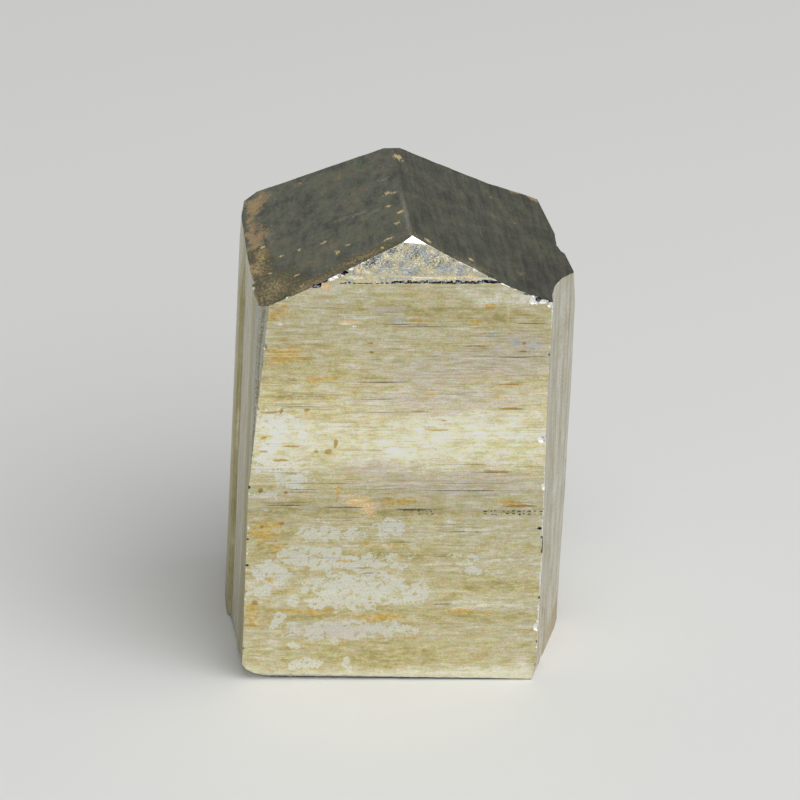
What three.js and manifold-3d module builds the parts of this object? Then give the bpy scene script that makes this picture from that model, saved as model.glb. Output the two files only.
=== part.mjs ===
// A single crystal of pyrite, grown as one piece: a four-sided column with a roof-shaped end.
// Millimetres, +Z up, standing on its flat lower end. While it is shaped, x runs to the right from the
// left front edge, y runs back from the front face and z runs up from the base. At the end the crystal
// is moved so that the origin is the middle of its bounding box at the level of the base.
import * as THREE from "three";
import { mergeVertices } from "three/addons/utils/BufferGeometryUtils.js";
import Module from "manifold-3d";

const wasm = await Module();
wasm.setup();

// Driving dimensions
const FRONT_WIDTH = 25; // the front face, from edge to edge
const DEPTH = 23.8; // front face to back face
const RIDGE_HEIGHT = 41.4; // base to ridge
const RIDGE_X = 13; // the ridge runs from front to back, this far from the left front edge
const FACET_START = 37.7; // height at which the small triangular facet begins on the front
const FACET_LEAN = 0.33; // how far that facet leans back for each millimetre of height
const RIB_X = 28.45; // the rib on the right side stands out to here
const RIB_Y = 10.4; // and is this far behind the front face
const LEFT_BULGE = 0.5; // the left side stands this far out past the left front edge at its foot
const LEFT_LEAN = 0.0057; // and draws in by this much for each millimetre of height
const BREAK_LEFT = [7.5, 38.75]; // the left roof face changes slope slightly here: x and height
const BREAK_RIGHT = [21.6, 37.25]; // and the right one here
const SHOULDER_DEPTH = 2; // the block that carries the front face up to the left roof edge
const SCOOP_RADIUS = 14.1; // the round hollow in the upper part of the right flank
const SCOOP_AXIS = [39.15, -0.2, 35]; // a point on its axis, at the height of the roof edge
const SCOOP_LEAN = 0.02; // the axis leans away below, in radians, so that the hollow fades out
const FISSURE_WIDTH = 0.16;
const EMBED = 0.8; // how deep a growth layer runs into the crystal
const LAYER_POINT = 6; // a layer's pointed end is this many times as long as half its width
const RISER = 0.07; // width of the small slope between two growth steps
const MARGIN = 4; // how far a cutting or extruded shape reaches past the crystal

const X = new THREE.Vector3(1, 0, 0);
const Y = new THREE.Vector3(0, 1, 0);
const Z = new THREE.Vector3(0, 0, 1);

const PYRITE = new THREE.MeshStandardMaterial({ color: 0xb5ab83, roughness: 0.38, metalness: 1 });

// Repeatable scatter: the same numbers on every run
function scatter(seed) {
  let state = seed;
  return (low, high) => {
    state = (Math.imul(state, 1664525) + 1013904223) >>> 0;
    return low + (high - low) * (state / 4294967296);
  };
}

function toSolid(geometry) {
  const plain = geometry.clone();
  plain.deleteAttribute("normal");
  plain.deleteAttribute("uv");
  const merged = mergeVertices(plain, 1e-5);
  return new wasm.Manifold(new wasm.Mesh({
    numProp: 3,
    vertProperties: new Float32Array(merged.attributes.position.array),
    triVerts: new Uint32Array(merged.index.array),
  }));
}

function toGeometry(solid) {
  const mesh = solid.getMesh();
  const geometry = new THREE.BufferGeometry();
  geometry.setAttribute("position", new THREE.BufferAttribute(mesh.vertProperties, 3));
  geometry.setIndex(new THREE.BufferAttribute(mesh.triVerts, 1));
  geometry.computeVertexNormals();
  return geometry;
}

// A straight bar: its section is drawn in the plane of u and v, and it runs along u x v from one
// distance to another
function bar(points, u, v, from, to) {
  const shape = new THREE.Shape(points.map(([a, b]) => new THREE.Vector2(a, b)));
  const geometry = new THREE.ExtrudeGeometry(shape, { depth: to - from, bevelEnabled: false });
  geometry.translate(0, 0, from);
  geometry.applyMatrix4(new THREE.Matrix4().makeBasis(u, v, u.clone().cross(v)));
  return toSolid(geometry);
}

// One straight side of a section, broken into growth steps. Each step has a width along the side and a
// depth below it; the widths are shared out over the whole side.
function stepped([x0, y0], [x1, y1], steps) {
  const length = Math.hypot(x1 - x0, y1 - y0);
  const total = steps.reduce((sum, [width]) => sum + width, 0);
  const ux = (x1 - x0) / length;
  const uy = (y1 - y0) / length;
  const points = [];
  let start = 0;
  for (const [width, depth] of steps) {
    const end = start + (width * length) / total;
    for (const along of [start + RISER, end - RISER]) {
      points.push([x0 + ux * along - uy * depth, y0 + uy * along + ux * depth]);
    }
    start = end;
  }
  return points;
}

// Growth steps of uneven width and depth for the faces that need no particular ones
function unevenSteps(count, deepest, seed) {
  const pick = scatter(seed);
  return Array.from({ length: count }, () => [pick(0.4, 1.6), pick(0, deepest)]);
}

// The steps of the front face, from its top down: height and depth of each
const FRONT_STEPS = [
  [2.2, 0.05], [1.2, 0.14], [1.55, 0.02], [1.45, 0.11], [1.1, 0.01], [1.5, 0.09], [1.6, 0.16],
  [0.9, 0.05], [1.3, 0.14], [1.4, 0.07], [4.0, 0], [1.1, 0.13], [1.6, 0.06], [0.5, 0.26],
  [1.9, 0.03], [1.8, 0.1], [1.7, 0.02], [2.1, 0.09], [2.4, 0.03], [0.5, 0.13], [2.3, 0],
  [2.4, 0.05], [1.2, 0.1],
];

// Outline from above, anticlockwise from the left front edge
function planOutline(withSteps) {
  const flank = withSteps ? stepped([FRONT_WIDTH, 0], [RIB_X, RIB_Y], unevenSteps(9, 0.14, 11)) : [];
  const behindRib = withSteps ? stepped([26.8, 13], [27.2, 21.6], unevenSteps(7, 0.2, 12)) : [];
  return [
    [0, 0], [FRONT_WIDTH, 0], ...flank, [RIB_X, RIB_Y], [28.2, 11.3], [27.05, 12], [26.8, 13],
    ...behindRib, [27.2, 21.6], [26.4, 23.3], [24, DEPTH], [3, DEPTH], [0.3, 22.2], [-0.25, 18.4],
    [-LEFT_BULGE, 15.2], [-LEFT_BULGE, 12], [-0.2, 11.7], [-0.05, 7.2], [0.05, 5.8], [-0.1, 5.4],
    [0, 2.8],
  ];
}

// The upright column with that outline. Behind the left front edge its left side draws in upwards.
function column(withSteps) {
  return bar(planOutline(withSteps), X, Y, 0, RIDGE_HEIGHT + MARGIN).warp((point) => {
    if (point[0] < 1 && point[1] > 1) {
      point[0] += LEFT_LEAN * point[2];
    }
  });
}

// Section from front to back: (y, z)
function frontToBackOutline(withSteps) {
  const top = RIDGE_HEIGHT + MARGIN;
  const back = withSteps ? stepped([DEPTH, 0], [DEPTH, 36], unevenSteps(17, 0.24, 21)) : [];
  const front = withSteps ? stepped([0, FACET_START], [0, 0], FRONT_STEPS) : [];
  return [
    [0, -MARGIN], [DEPTH, -MARGIN], ...back, [DEPTH, top],
    [(top - FACET_START) * FACET_LEAN, top], [0, FACET_START], ...front,
  ];
}

// Section from side to side: (x, z), the rib's outer edge and the two roof faces
function roofOutline(withSteps) {
  const ribTop = [27.75, 34.9];
  const ridge = [RIDGE_X, RIDGE_HEIGHT];
  const eaveLeft = [-0.6, 34.75];
  const slope = (from, to, count, seed) => (
    withSteps ? [from, ...stepped(from, to, unevenSteps(count, 0.1, seed))] : [from]
  );
  return [
    [-0.6, -MARGIN], [RIB_X + 0.1, -MARGIN], [RIB_X + 0.1, 12], [28.2, 31.5],
    ...slope(ribTop, BREAK_RIGHT, 6, 31), ...slope(BREAK_RIGHT, ridge, 8, 32),
    ...slope(ridge, BREAK_LEFT, 6, 33), ...slope(BREAK_LEFT, eaveLeft, 7, 34), eaveLeft,
  ];
}

function crystalForm(withSteps) {
  const frontToBack = bar(frontToBackOutline(withSteps), Y, Z, -MARGIN, RIB_X + MARGIN);
  const roof = bar(roofOutline(withSteps), X, Z, -DEPTH - MARGIN, MARGIN);
  // Left of the break in the roof the front face runs on up to the roof edge
  const [right, top] = [BREAK_LEFT[0], BREAK_LEFT[1] + 1];
  const section = [[-1, FACET_START], [right, FACET_START], [right, top], [-1, top]];
  const topStepDepth = FRONT_STEPS[0][1];
  const shoulder = bar(section, X, Z, -SHOULDER_DEPTH, -topStepDepth);
  return column(withSteps).intersect(frontToBack.add(shoulder)).intersect(roof);
}

// The faces on which partial growth layers lie. Each has a corner, the direction of its striations, its
// outward direction, its length along the striations, its width across them and its number of layers.
const FLANK_LENGTH = Math.hypot(RIB_X - FRONT_WIDTH, RIB_Y);
const ROOF_RISE = (RIDGE_HEIGHT - BREAK_LEFT[1]) / (RIDGE_X - BREAK_LEFT[0]);
const RIDGE_FRONT = [RIDGE_X, 1.8, RIDGE_HEIGHT];
const FRONT = {
  corner: [0, 0, 0.5], along: X, outward: [0, -1, 0], length: FRONT_WIDTH, width: 36.5, layers: 34,
};
const BACK = {
  corner: [27, DEPTH, 0.5], along: X.clone().negate(), outward: [0, 1, 0], length: 26, width: 35, layers: 26,
};
const LEFT_SIDE = {
  corner: [-0.3, 0.3, 0], along: Z, outward: [-1, 0, 0], length: 35, width: 21, layers: 18,
};
const BEHIND_RIB = {
  corner: [27.1, 13, 0], along: Z, outward: [1, 0, 0], length: 35, width: -8.5, layers: 9,
};
const FLANK = {
  corner: [FRONT_WIDTH, 0, 0], along: Z, outward: [RIB_Y, FRONT_WIDTH - RIB_X, 0],
  length: 34, width: -FLANK_LENGTH, layers: 10,
};
const LEFT_ROOF = {
  corner: RIDGE_FRONT, along: Y, outward: [-ROOF_RISE, 0, 1], length: 20, width: -13, layers: 12,
};
const RIGHT_ROOF = {
  corner: RIDGE_FRONT, along: Y, outward: [ROOF_RISE, 0, 1], length: 20, width: 14, layers: 12,
};
const FACES = [FRONT, BACK, LEFT_SIDE, BEHIND_RIB, FLANK, LEFT_ROOF, RIGHT_ROOF];

// A thin layer, long along the striations and pointed at both ends
function layer(face, start, end, middle, halfWidth, sunk) {
  const outward = new THREE.Vector3(...face.outward).normalize();
  const across = outward.clone().cross(face.along);
  const taper = Math.min(LAYER_POINT * halfWidth, (end - start) / 3);
  const shape = new THREE.Shape([
    new THREE.Vector2(start, middle),
    new THREE.Vector2(start + taper, middle - halfWidth),
    new THREE.Vector2(end - taper, middle - halfWidth * 0.8),
    new THREE.Vector2(end, middle),
    new THREE.Vector2(end - taper, middle + halfWidth),
    new THREE.Vector2(start + taper, middle + halfWidth * 0.8),
  ]);
  const geometry = new THREE.ExtrudeGeometry(shape, { depth: EMBED - sunk, bevelEnabled: false });
  geometry.translate(0, 0, -EMBED);
  geometry.applyMatrix4(new THREE.Matrix4().makeBasis(face.along, across, outward));
  geometry.translate(...face.corner);
  return toSolid(geometry);
}

function growLayers(solid) {
  const pick = scatter(77);
  let grown = solid;
  for (const face of FACES) {
    for (let count = 0; count < face.layers; count += 1) {
      const start = pick(-0.3, 0.75) * face.length;
      const end = start + pick(0.2, 0.7) * face.length;
      const middle = pick(0.01, 0.99) * face.width;
      grown = grown.add(layer(face, start, end, middle, pick(0.12, 0.5), pick(0, 0.1)));
    }
  }
  return grown;
}

// Takes away all that lies on the outer side of a plane
function sliceOff(solid, point, outward) {
  const size = 120;
  const block = new THREE.BoxGeometry(size, size, size);
  block.translate(0, 0, size / 2);
  const direction = new THREE.Vector3(...outward).normalize();
  block.applyQuaternion(new THREE.Quaternion().setFromUnitVectors(Z, direction));
  block.translate(...point);
  return solid.subtract(toSolid(block));
}

// The flat faces that cut corners and edges off the main form: a point on each and its outward direction
const CORNER_FACES = [
  [[2.8, 22.42, 36.7], [-0.037, 1, 0.511]], // two leaning facets at the back of the roof
  [[2.8, 23.55, 36.7], [0.085, 1, 0.511]],
  [[27.75, 8.1, 35], [0.967, 0.109, 0.232]], // the rib draws in towards its top
  [[1, 0, 33], [-1, -1, 0.067]], // narrow face along the upper part of the left front edge
  [[0.5, 0, 35.7], [-1, -0.085, 0.03]], // the left side beside it
  [[RIDGE_X, 1.05, 40.85], [0.04, -0.7, 0.71]], // bright little face at the front end of the ridge
  [[RIDGE_X, 20.4, 41.08], [-0.05, 0.15, 1]], // its back end is worn flat
  [[0, 0, 1], [-0.0286, -1, -1.1]], // lower edge of the front
  [[0.25, 0, 1.2], [-0.8, -0.1, -0.6]], // lower left corner, in two steps
  [[1, 0, 0.75], [-0.45, -0.1, -0.9]],
  [[0.1, 22.3, 3], [-0.4, 0.85, -0.35]], // lower back corners
  [[26.9, 22.4, 2.2], [0.5, 0.8, -0.4]],
  [[27.9, 12, 0.4], [0.5, 0.2, -0.85]], // foot of the rib
];

// The hollow in the upper part of the right flank: a wide round scoop that fades out downwards
function scoopFlank(solid) {
  const scoop = new THREE.CylinderGeometry(SCOOP_RADIUS, SCOOP_RADIUS, 2 * RIDGE_HEIGHT, 96);
  scoop.rotateX(Math.PI / 2);
  scoop.rotateY(-SCOOP_LEAN);
  scoop.translate(...SCOOP_AXIS);
  return solid.subtract(toSolid(scoop));
}

// Chips and pits: middle, half sizes and turn of each
const CHIPS = [
  [[23.9, 0, 36.3], [0.8, 0.35, 0.32], 0.3], // broken front right corner of the roof edge
  [[24.8, 0, 35.8], [0.45, 0.3, 0.4], 1.1],
  [[22.6, 0, 36.8], [0.5, 0.25, 0.2], 0.7],
  [[24.9, 0, 23.4], [0.42, 0.3, 0.6], 0.5], // right front edge
  [[25.1, 0, 18.8], [0.3, 0.28, 0.4], 1.9],
  [[25.15, 0, 14.6], [0.25, 0.3, 0.9], 0.2],
  [[25.1, 0, 5.3], [0.38, 0.35, 0.5], 2.4],
  [[25.05, 0, 29.6], [0.22, 0.2, 0.5], 0.9],
  [[0.95, 0, 31.8], [0.35, 0.3, 0.5], 0.8], // left front edge
  [[0.5, 0, 26], [0.3, 0.22, 0.45], 1.4],
  [[0.1, 0, 11.2], [0.3, 0.25, 0.22], 0.4],
  [[0, 0, 7], [0.25, 0.25, 0.4], 2],
  [[0.1, 5.6, 35.15], [0.4, 0.35, 0.35], 0.6], // left roof edge
  [[0.15, 4.5, 35.05], [0.3, 0.5, 0.3], 1.3],
  [[-0.25, 13.2, 34.9], [0.25, 0.6, 0.3], 2.2],
  [[5.2, 0.1, 37.65], [0.7, 0.3, 0.25], 0.4], // broken front edge of the left roof
  [[6.6, 0.2, 38.35], [0.5, 0.3, 0.25], 1.2],
  [[2.6, 0.1, 36.35], [0.45, 0.25, 0.2], 2.1],
  [[1.75, 0, 33.7], [0.45, 0.16, 0.3], 0.3], // pit with the bright rim below the left corner
  [[8.2, 0, 33.7], [0.7, 0.1, 0.22], 0.1], // small flakes lost from the front face
  [[9.6, 0, 16.9], [0.9, 0.14, 0.32], 0.2],
  [[12.4, 1.2, 41.4], [0.5, 0.6, 0.16], 0.5], // ridge
  [[13.3, 5.4, 41.5], [0.5, 0.9, 0.2], 1.5],
  [[12.9, 9.6, 41.5], [0.45, 0.7, 0.2], 2.6],
  [[13.2, 14.6, 41.5], [0.5, 1.1, 0.22], 0.9],
  [[4.2, 9.5, 37.25], [1.2, 1.8, 0.18], 0.7], // shallow pits on the left roof face
  [[6.8, 14.2, 38.55], [1, 1.5, 0.16], 1.7],
  [[2.4, 17.6, 36.35], [1.1, 1.4, 0.18], 0.2],
  [[9.8, 7.3, 39.9], [0.7, 1.4, 0.14], 2.3],
  [[17.8, 24, 30], [3.2, 0.6, 2.2], 0.4], // hollow in the back face
  [[8.5, 24.2, 9], [2.6, 0.7, 1.8], 1.2],
  [[26.9, 23.2, 14], [0.7, 0.8, 1.6], 0.3],
  [[1.5, 23.2, 20], [0.8, 0.7, 1.4], 1.8],
];

function chip([middle, halfSizes, turn]) {
  const stone = new THREE.IcosahedronGeometry(1, 0);
  stone.rotateX(2 * turn);
  stone.rotateZ(turn);
  stone.scale(...halfSizes);
  stone.translate(...middle);
  return toSolid(stone);
}

// Small bites along the foot of the crystal, where the lower edges are crumbled
function footChips() {
  const pick = scatter(5);
  const chips = [];
  const lowerEdges = [
    [[2, 0.6], [24.5, 0.4], 12], [[0, 2], [0, 20], 7],
    [[25.3, 1], [28.2, 10], 5], [[4, DEPTH], [24, DEPTH], 8],
  ];
  for (const [[x0, y0], [x1, y1], count] of lowerEdges) {
    for (let index = 0; index < count; index += 1) {
      const share = (index + pick(0.1, 0.9)) / count;
      const middle = [x0 + (x1 - x0) * share, y0 + (y1 - y0) * share, pick(-0.1, 0.15)];
      chips.push([middle, [pick(0.3, 0.9), pick(0.2, 0.5), pick(0.2, 0.45)], pick(0, 3)]);
    }
  }
  return chips;
}

// The dark rough groove under the triangular facet, made of short cracks that overlap
function grooveUnderFacet() {
  const pick = scatter(9);
  const cracks = [];
  for (let x = BREAK_LEFT[0] - 0.3; x < 20.2; x += pick(0.7, 1.3)) {
    const height = FACET_START + pick(-0.16, 0.1);
    cracks.push([[x, 0.02, height], [pick(0.6, 1.2), 0.26, pick(0.09, 0.17)], pick(0, 3)]);
  }
  return cracks;
}

// The fissure that runs back from the front edge over the right roof face
function fissure() {
  const [front, back] = [[22.2, -0.4, 37.1], [21.6, 8.3, 37.35]];
  const start = new THREE.Vector3(...front);
  const run = new THREE.Vector3(...back).sub(start);
  const wedge = new THREE.CylinderGeometry(FISSURE_WIDTH, FISSURE_WIDTH, run.length(), 3);
  wedge.applyQuaternion(new THREE.Quaternion().setFromUnitVectors(Y, run.clone().normalize()));
  wedge.translate(...start.addScaledVector(run, 0.5));
  return toSolid(wedge);
}

function pyriteCrystal() {
  let solid = growLayers(crystalForm(true)).intersect(crystalForm(false));
  for (const [point, outward] of CORNER_FACES) {
    solid = sliceOff(solid, point, outward);
  }
  solid = scoopFlank(solid).subtract(fissure());
  for (const bite of [...CHIPS, ...footChips(), ...grooveUnderFacet()]) {
    solid = solid.subtract(chip(bite));
  }
  const geometry = toGeometry(solid);
  geometry.computeBoundingBox();
  const { min, max } = geometry.boundingBox;
  geometry.translate(-(min.x + max.x) / 2, -(min.y + max.y) / 2, -min.z);
  return geometry;
}

const crystal = new THREE.Mesh(pyriteCrystal(), PYRITE);
crystal.name = "pyrite_crystal";

const group = new THREE.Group();
group.add(crystal);

export default group;
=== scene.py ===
# A pyrite crystal on a plain pale floor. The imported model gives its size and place, and it gets its surface
# here. While the crystal is shaped, x runs to the right from its left front edge, y runs back from its front
# face and z runs up from its base, all in millimetres.
import math
import random
from functools import reduce

import bpy
from bpy.props import FloatProperty, FloatVectorProperty, PointerProperty
from mathutils import Matrix, Quaternion, Vector


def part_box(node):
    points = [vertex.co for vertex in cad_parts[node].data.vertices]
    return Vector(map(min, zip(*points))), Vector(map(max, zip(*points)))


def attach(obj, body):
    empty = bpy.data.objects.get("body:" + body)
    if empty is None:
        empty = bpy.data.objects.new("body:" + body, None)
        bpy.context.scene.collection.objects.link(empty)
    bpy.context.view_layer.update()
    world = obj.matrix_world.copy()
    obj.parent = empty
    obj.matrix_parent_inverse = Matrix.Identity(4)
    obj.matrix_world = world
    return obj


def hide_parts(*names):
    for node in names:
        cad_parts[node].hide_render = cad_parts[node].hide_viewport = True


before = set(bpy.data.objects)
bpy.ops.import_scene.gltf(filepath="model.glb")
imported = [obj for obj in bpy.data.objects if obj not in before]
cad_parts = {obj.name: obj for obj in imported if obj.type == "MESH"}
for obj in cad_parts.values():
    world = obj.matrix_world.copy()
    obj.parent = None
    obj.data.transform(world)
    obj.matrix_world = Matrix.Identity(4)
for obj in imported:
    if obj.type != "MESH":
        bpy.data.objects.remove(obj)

bl_info = {
    "name": "Pyrite Crystal",
    "version": (1, 0, 0),
    "blender": (4, 5, 0),
    "location": "3D View > Sidebar > Pyrite",
    "description": "Shapes a striated pyrite crystal and sets it in a plain studio",
    "category": "Add Mesh",
}

# The frame and the main sizes
NODE = "pyrite_crystal"
PIECE = "pyrite_crystal_surface"
MM = 0.001
CAD_LOW, CAD_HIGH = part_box(NODE)
SIZE = (Vector(CAD_HIGH) - Vector(CAD_LOW)) / MM
LEFT_BULGE = 0.5  # the left side stands this far out past the left front edge at its foot
LEFT_LEAN = 0.0057  # and draws in by this much for each millimetre of height
RIGHT_BELLY = 0.4  # how far the lower part of the right front edge bows out
ORIGIN = Vector(CAD_LOW) + Vector((LEFT_BULGE * MM, 0, 0))

FRONT_WIDTH = 25
DEPTH = SIZE.y
RIDGE_HEIGHT = SIZE.z
RIDGE_X = 13
FACET_START = 37.7
FACET_LEAN = 0.33
BREAK_LEFT = (7.5, 38.75)
BREAK_RIGHT = (21.6, 37.25)
RIB = (SIZE.x - LEFT_BULGE, 10.4)
MARGIN = 4  # how far the bars and cutters reach past the crystal

FRONT, BACK, SIDE, BEVEL, ROOF, FACET, FRACTURE, GROOVE, FOOT, CLEAN = range(10)


def place(x, y, z):
    """A point of the crystal, from millimetres to its place in the frame."""
    return ORIGIN + Vector((x, y, z)) * MM


# Settings
def colour_setting(name, description, default):
    return FloatVectorProperty(
        name=name, description=description, default=default, subtype="COLOR", size=3, min=0, max=1
    )


class CrystalSettings(bpy.types.PropertyGroup):
    ledge_depth: FloatProperty(
        name="Ledge depth", description="Depth of the widest growth ledges",
        default=0.05 * MM, min=0, precision=6, unit="LENGTH",
    )
    line_depth: FloatProperty(
        name="Line depth", description="Depth of the dark hairlines across the front",
        default=0.012 * MM, min=0, precision=6, unit="LENGTH",
    )
    wear: FloatProperty(
        name="Wear", description="Size of the nicks along the edges, 1 as photographed",
        default=1, min=0.2, max=2, subtype="FACTOR",
    )
    gloss: FloatProperty(
        name="Roughness", description="Roughness of clean metal", default=0.33, min=0.05, max=1,
        subtype="FACTOR",
    )
    silver: colour_setting("Bare metal", "Colour where the tarnish is worn off", (0.77, 0.77, 0.64))
    brass: colour_setting("Brass", "Colour under a thin tarnish", (0.75, 0.7, 0.51))
    golden: colour_setting("Golden tarnish", "Colour under a thicker tarnish", (0.71, 0.615, 0.34))
    olive: colour_setting("Olive tarnish", "Colour under the thickest clean tarnish", (0.5, 0.44, 0.19))
    ochre: colour_setting("Ochre", "Colour of the yellow rust", (0.8, 0.56, 0.14))
    rust: colour_setting("Rust", "Colour of the brown rust", (0.45, 0.26, 0.07))
    # The roof colours are darker than the front's partly for tarnish and partly as painted shade for the dark
    # surroundings that upward faces mirror
    left_roof: colour_setting("Left roof", "Colour of the left roof face", (0.31, 0.33, 0.26))
    right_roof: colour_setting("Right roof", "Colour of the right roof face", (0.2, 0.21, 0.148))


class StageSettings(bpy.types.PropertyGroup):
    lens: FloatProperty(name="Lens", description="Focal length of the camera", default=270, unit="CAMERA")
    light_power: FloatProperty(
        name="Light power", description="Power of the soft light", default=5.45, min=0, unit="POWER",
    )
    light_side: FloatProperty(
        name="Light side", description="Width and height of the soft light", default=0.9, min=0.05,
        unit="LENGTH",
    )
    surroundings: FloatProperty(
        name="Surroundings", description="Brightness of the plain surroundings", default=0.3, min=0, max=1,
    )
    floor: colour_setting("Floor", "Colour of the floor", (0.8, 0.805, 0.79))


# Formulas in node trees
class Value:
    """A number, vector or colour in a node tree, with ordinary arithmetic."""

    def __init__(self, formula, socket):
        self.formula = formula
        self.socket = socket

    def __add__(self, other):
        return self.formula.math("ADD", self, other)

    def __sub__(self, other):
        return self.formula.math("SUBTRACT", self, other)

    def __rsub__(self, other):
        return self.formula.math("SUBTRACT", other, self)

    def __mul__(self, other):
        return self.formula.math("MULTIPLY", self, other)

    def __truediv__(self, other):
        return self.formula.math("DIVIDE", self, other)

    __radd__ = __add__
    __rmul__ = __mul__


class Formula:
    """Adds nodes to a tree, so that a surface can be written as a formula."""

    def __init__(self, tree):
        self.tree = tree

    def feed(self, socket, value):
        if isinstance(value, Value):
            self.tree.links.new(value.socket, socket)
        else:
            socket.default_value = value

    def node(self, kind, inputs=None, output=0, **settings):
        count = len(self.tree.nodes)
        node = self.tree.nodes.new(kind)
        node.location = (180 * (count % 24), -220 * (count // 24))
        for name, value in settings.items():
            setattr(node, name, value)
        for key, value in (inputs or {}).items():
            self.feed(node.inputs[key], value)
        return Value(self, node.outputs[output])

    def math(self, operation, *values):
        return self.node("ShaderNodeMath", dict(enumerate(values)), operation=operation)

    def greatest(self, *values):
        return reduce(lambda one, other: self.math("MAXIMUM", one, other), values)

    def least(self, *values):
        return reduce(lambda one, other: self.math("MINIMUM", one, other), values)

    def vector(self, x=0.0, y=0.0, z=0.0):
        return self.node("ShaderNodeCombineXYZ", {0: x, 1: y, 2: z})

    def parts(self, vector):
        node = self.node("ShaderNodeSeparateXYZ", {0: vector}).socket.node
        return [Value(self, socket) for socket in node.outputs]

    def vector_math(self, operation, *values, output=0):
        return self.node("ShaderNodeVectorMath", dict(enumerate(values)), output, operation=operation)

    def scaled(self, vector, share):
        return self.node("ShaderNodeVectorMath", {0: vector, 3: share}, operation="SCALE")

    def step(self, value, low, high):
        """0 below low, 1 above high, and smooth between."""
        inputs = {"Value": value, "From Min": low, "From Max": high}
        return self.node("ShaderNodeMapRange", inputs, interpolation_type="SMOOTHSTEP")

    def noise(self, spot, detail=3, roughness=0.55, scale=1, output=0):
        """Cloudy noise around 0.5 at a vector or at its coordinates. Output 1 gives three such numbers."""
        vector = self.vector(*spot) if isinstance(spot, tuple) else spot
        inputs = {"Vector": vector, "Scale": scale, "Detail": detail, "Roughness": roughness}
        return self.node("ShaderNodeTexNoise", inputs, output)

    def chance(self, number, seed=0.0):
        """A random number from 0 to 1 that belongs to a whole number."""
        return self.node(
            "ShaderNodeTexWhiteNoise", {"Vector": self.vector(number, seed)}, noise_dimensions="2D"
        )

    def blend(self, low, high, share):
        """A number between low and high."""
        return self.node("ShaderNodeMix", {"Factor": share, "A": low, "B": high}, data_type="FLOAT")

    def tint(self, low, high, share):
        """A colour between low and high."""
        inputs = {0: share, 6: solid(low), 7: solid(high)}
        return self.node("ShaderNodeMix", inputs, output=2, data_type="RGBA")

    def ramp(self, value, stops):
        """A colour that passes from stop to stop. Each stop has its place, from 0 to 1, and its colour."""
        result = self.node("ShaderNodeValToRGB", {"Fac": value})
        elements = result.socket.node.color_ramp.elements
        elements.remove(elements[1])
        elements[0].position = stops[0][0]
        elements[0].color = solid(stops[0][1])
        for position, tone in stops[1:]:
            elements.new(position).color = solid(tone)
        return result


def solid(value):
    """A colour for a node: a value from the tree as it is, three numbers with full alpha."""
    if isinstance(value, Value):
        return value
    return (*value[:3], 1.0)


# Growth steps, the terraces that striate a face
def growth_steps(formula, across, along, width, depth, reach, seed):
    """Bands across the striations, each sunk by its own depth, that change where a ledge ends."""
    band = formula.math("FLOOR", across / width)
    near_level = formula.chance(band, seed)
    far_level = formula.chance(band, seed + 0.37)
    ledge = formula.noise((along / reach, band * 3.7, seed), 1)
    return formula.blend(near_level, far_level, formula.step(ledge, 0.495, 0.505)) * depth


def uneven(formula, across, along, amount, length):
    """The coordinate across the striations, moved so that the bands get uneven widths."""
    wander = formula.noise((across / length, along / (40 * length)), 1)
    return across + (wander - 0.5) * amount


def striated(formula, across, along, seed, depth):
    """Three sizes of growth steps on each other. depth is that of the widest, in millimetres."""
    wide = uneven(formula, across, along, 3.0, 2.2)
    return (
        growth_steps(formula, wide, along, 1.7, depth, 16.0, seed)
        + growth_steps(formula, wide + 0.3, along, 0.62, 0.55 * depth, 9.0, seed + 1.1)
        + growth_steps(formula, across + 0.1, along, 0.23, 0.24 * depth, 5.0, seed + 2.3)
    )


def near(formula, across, up, marks):
    """1 in the middle of a mark, 0 at its outline and beyond. A mark has its middle and its half sizes."""
    spot = formula.vector(across, up)
    distances = []
    for middle_a, middle_b, half_a, half_b in marks:
        scaled = formula.vector_math(
            "MULTIPLY_ADD", spot, (1 / half_a, 1 / half_b, 0), (-middle_a / half_a, -middle_b / half_b, 0)
        )
        distances.append(formula.vector_math("LENGTH", scaled, output=1))
    return 1 - formula.least(*distances, 1)


# Hairlines across the front, notched into it and darkened with painted shade: x and z of the middle, half
# length and half width
HAIRLINES = [
    (11.2, 28.5, 3.2, 0.07), (3, 27.5, 1.9, 0.05), (10.7, 26.9, 1.7, 0.07), (4.6, 26.2, 3.4, 0.05),
    (12.2, 33.9, 3, 0.06), (6, 35.4, 3.2, 0.04), (23.2, 34, 1.9, 0.06), (14.2, 33.7, 4, 0.05),
    (16.9, 24.9, 0.8, 0.06), (18, 20.8, 3.2, 0.04), (3.6, 20, 1.9, 0.04), (5.6, 19, 5.2, 0.05),
    (19, 19, 6, 0.04), (4.6, 18.4, 2.8, 0.06), (18.6, 18.3, 6.2, 0.07), (3.4, 16.9, 2.3, 0.12),
    (8, 16.7, 3, 0.1), (14.4, 16.5, 2.6, 0.14), (22.7, 16.25, 3, 0.07), (7, 15.4, 4.6, 0.05),
    (18, 15.1, 2.8, 0.04), (18.9, 14.37, 4, 0.07), (13, 13.4, 1.6, 0.05), (20.6, 20, 2.4, 0.05),
    (10.4, 10.9, 1.6, 0.07), (10.6, 10.4, 1.2, 0.06), (16.6, 12, 0.9, 0.06), (17, 7.4, 0.6, 0.06),
    (22.3, 30.85, 2.8, 0.05), (22.9, 29.2, 2, 0.05), (12, 25.7, 7, 0.04), (9.5, 30.6, 4, 0.03),
]


# Modelling helpers
def deselect_all():
    bpy.ops.object.select_all(action="DESELECT")


def make_active(obj):
    deselect_all()
    obj.select_set(True)
    bpy.context.view_layer.objects.active = obj


def edit(obj):
    make_active(obj)
    bpy.ops.object.mode_set(mode="EDIT")


def leave_edit():
    bpy.ops.object.mode_set(mode="OBJECT")


def face_outwards():
    """Turns all faces of the piece in edit mode outwards, and leaves edit mode."""
    bpy.ops.mesh.select_all(action="SELECT")
    bpy.ops.mesh.normals_make_consistent(inside=False)
    leave_edit()


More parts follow.
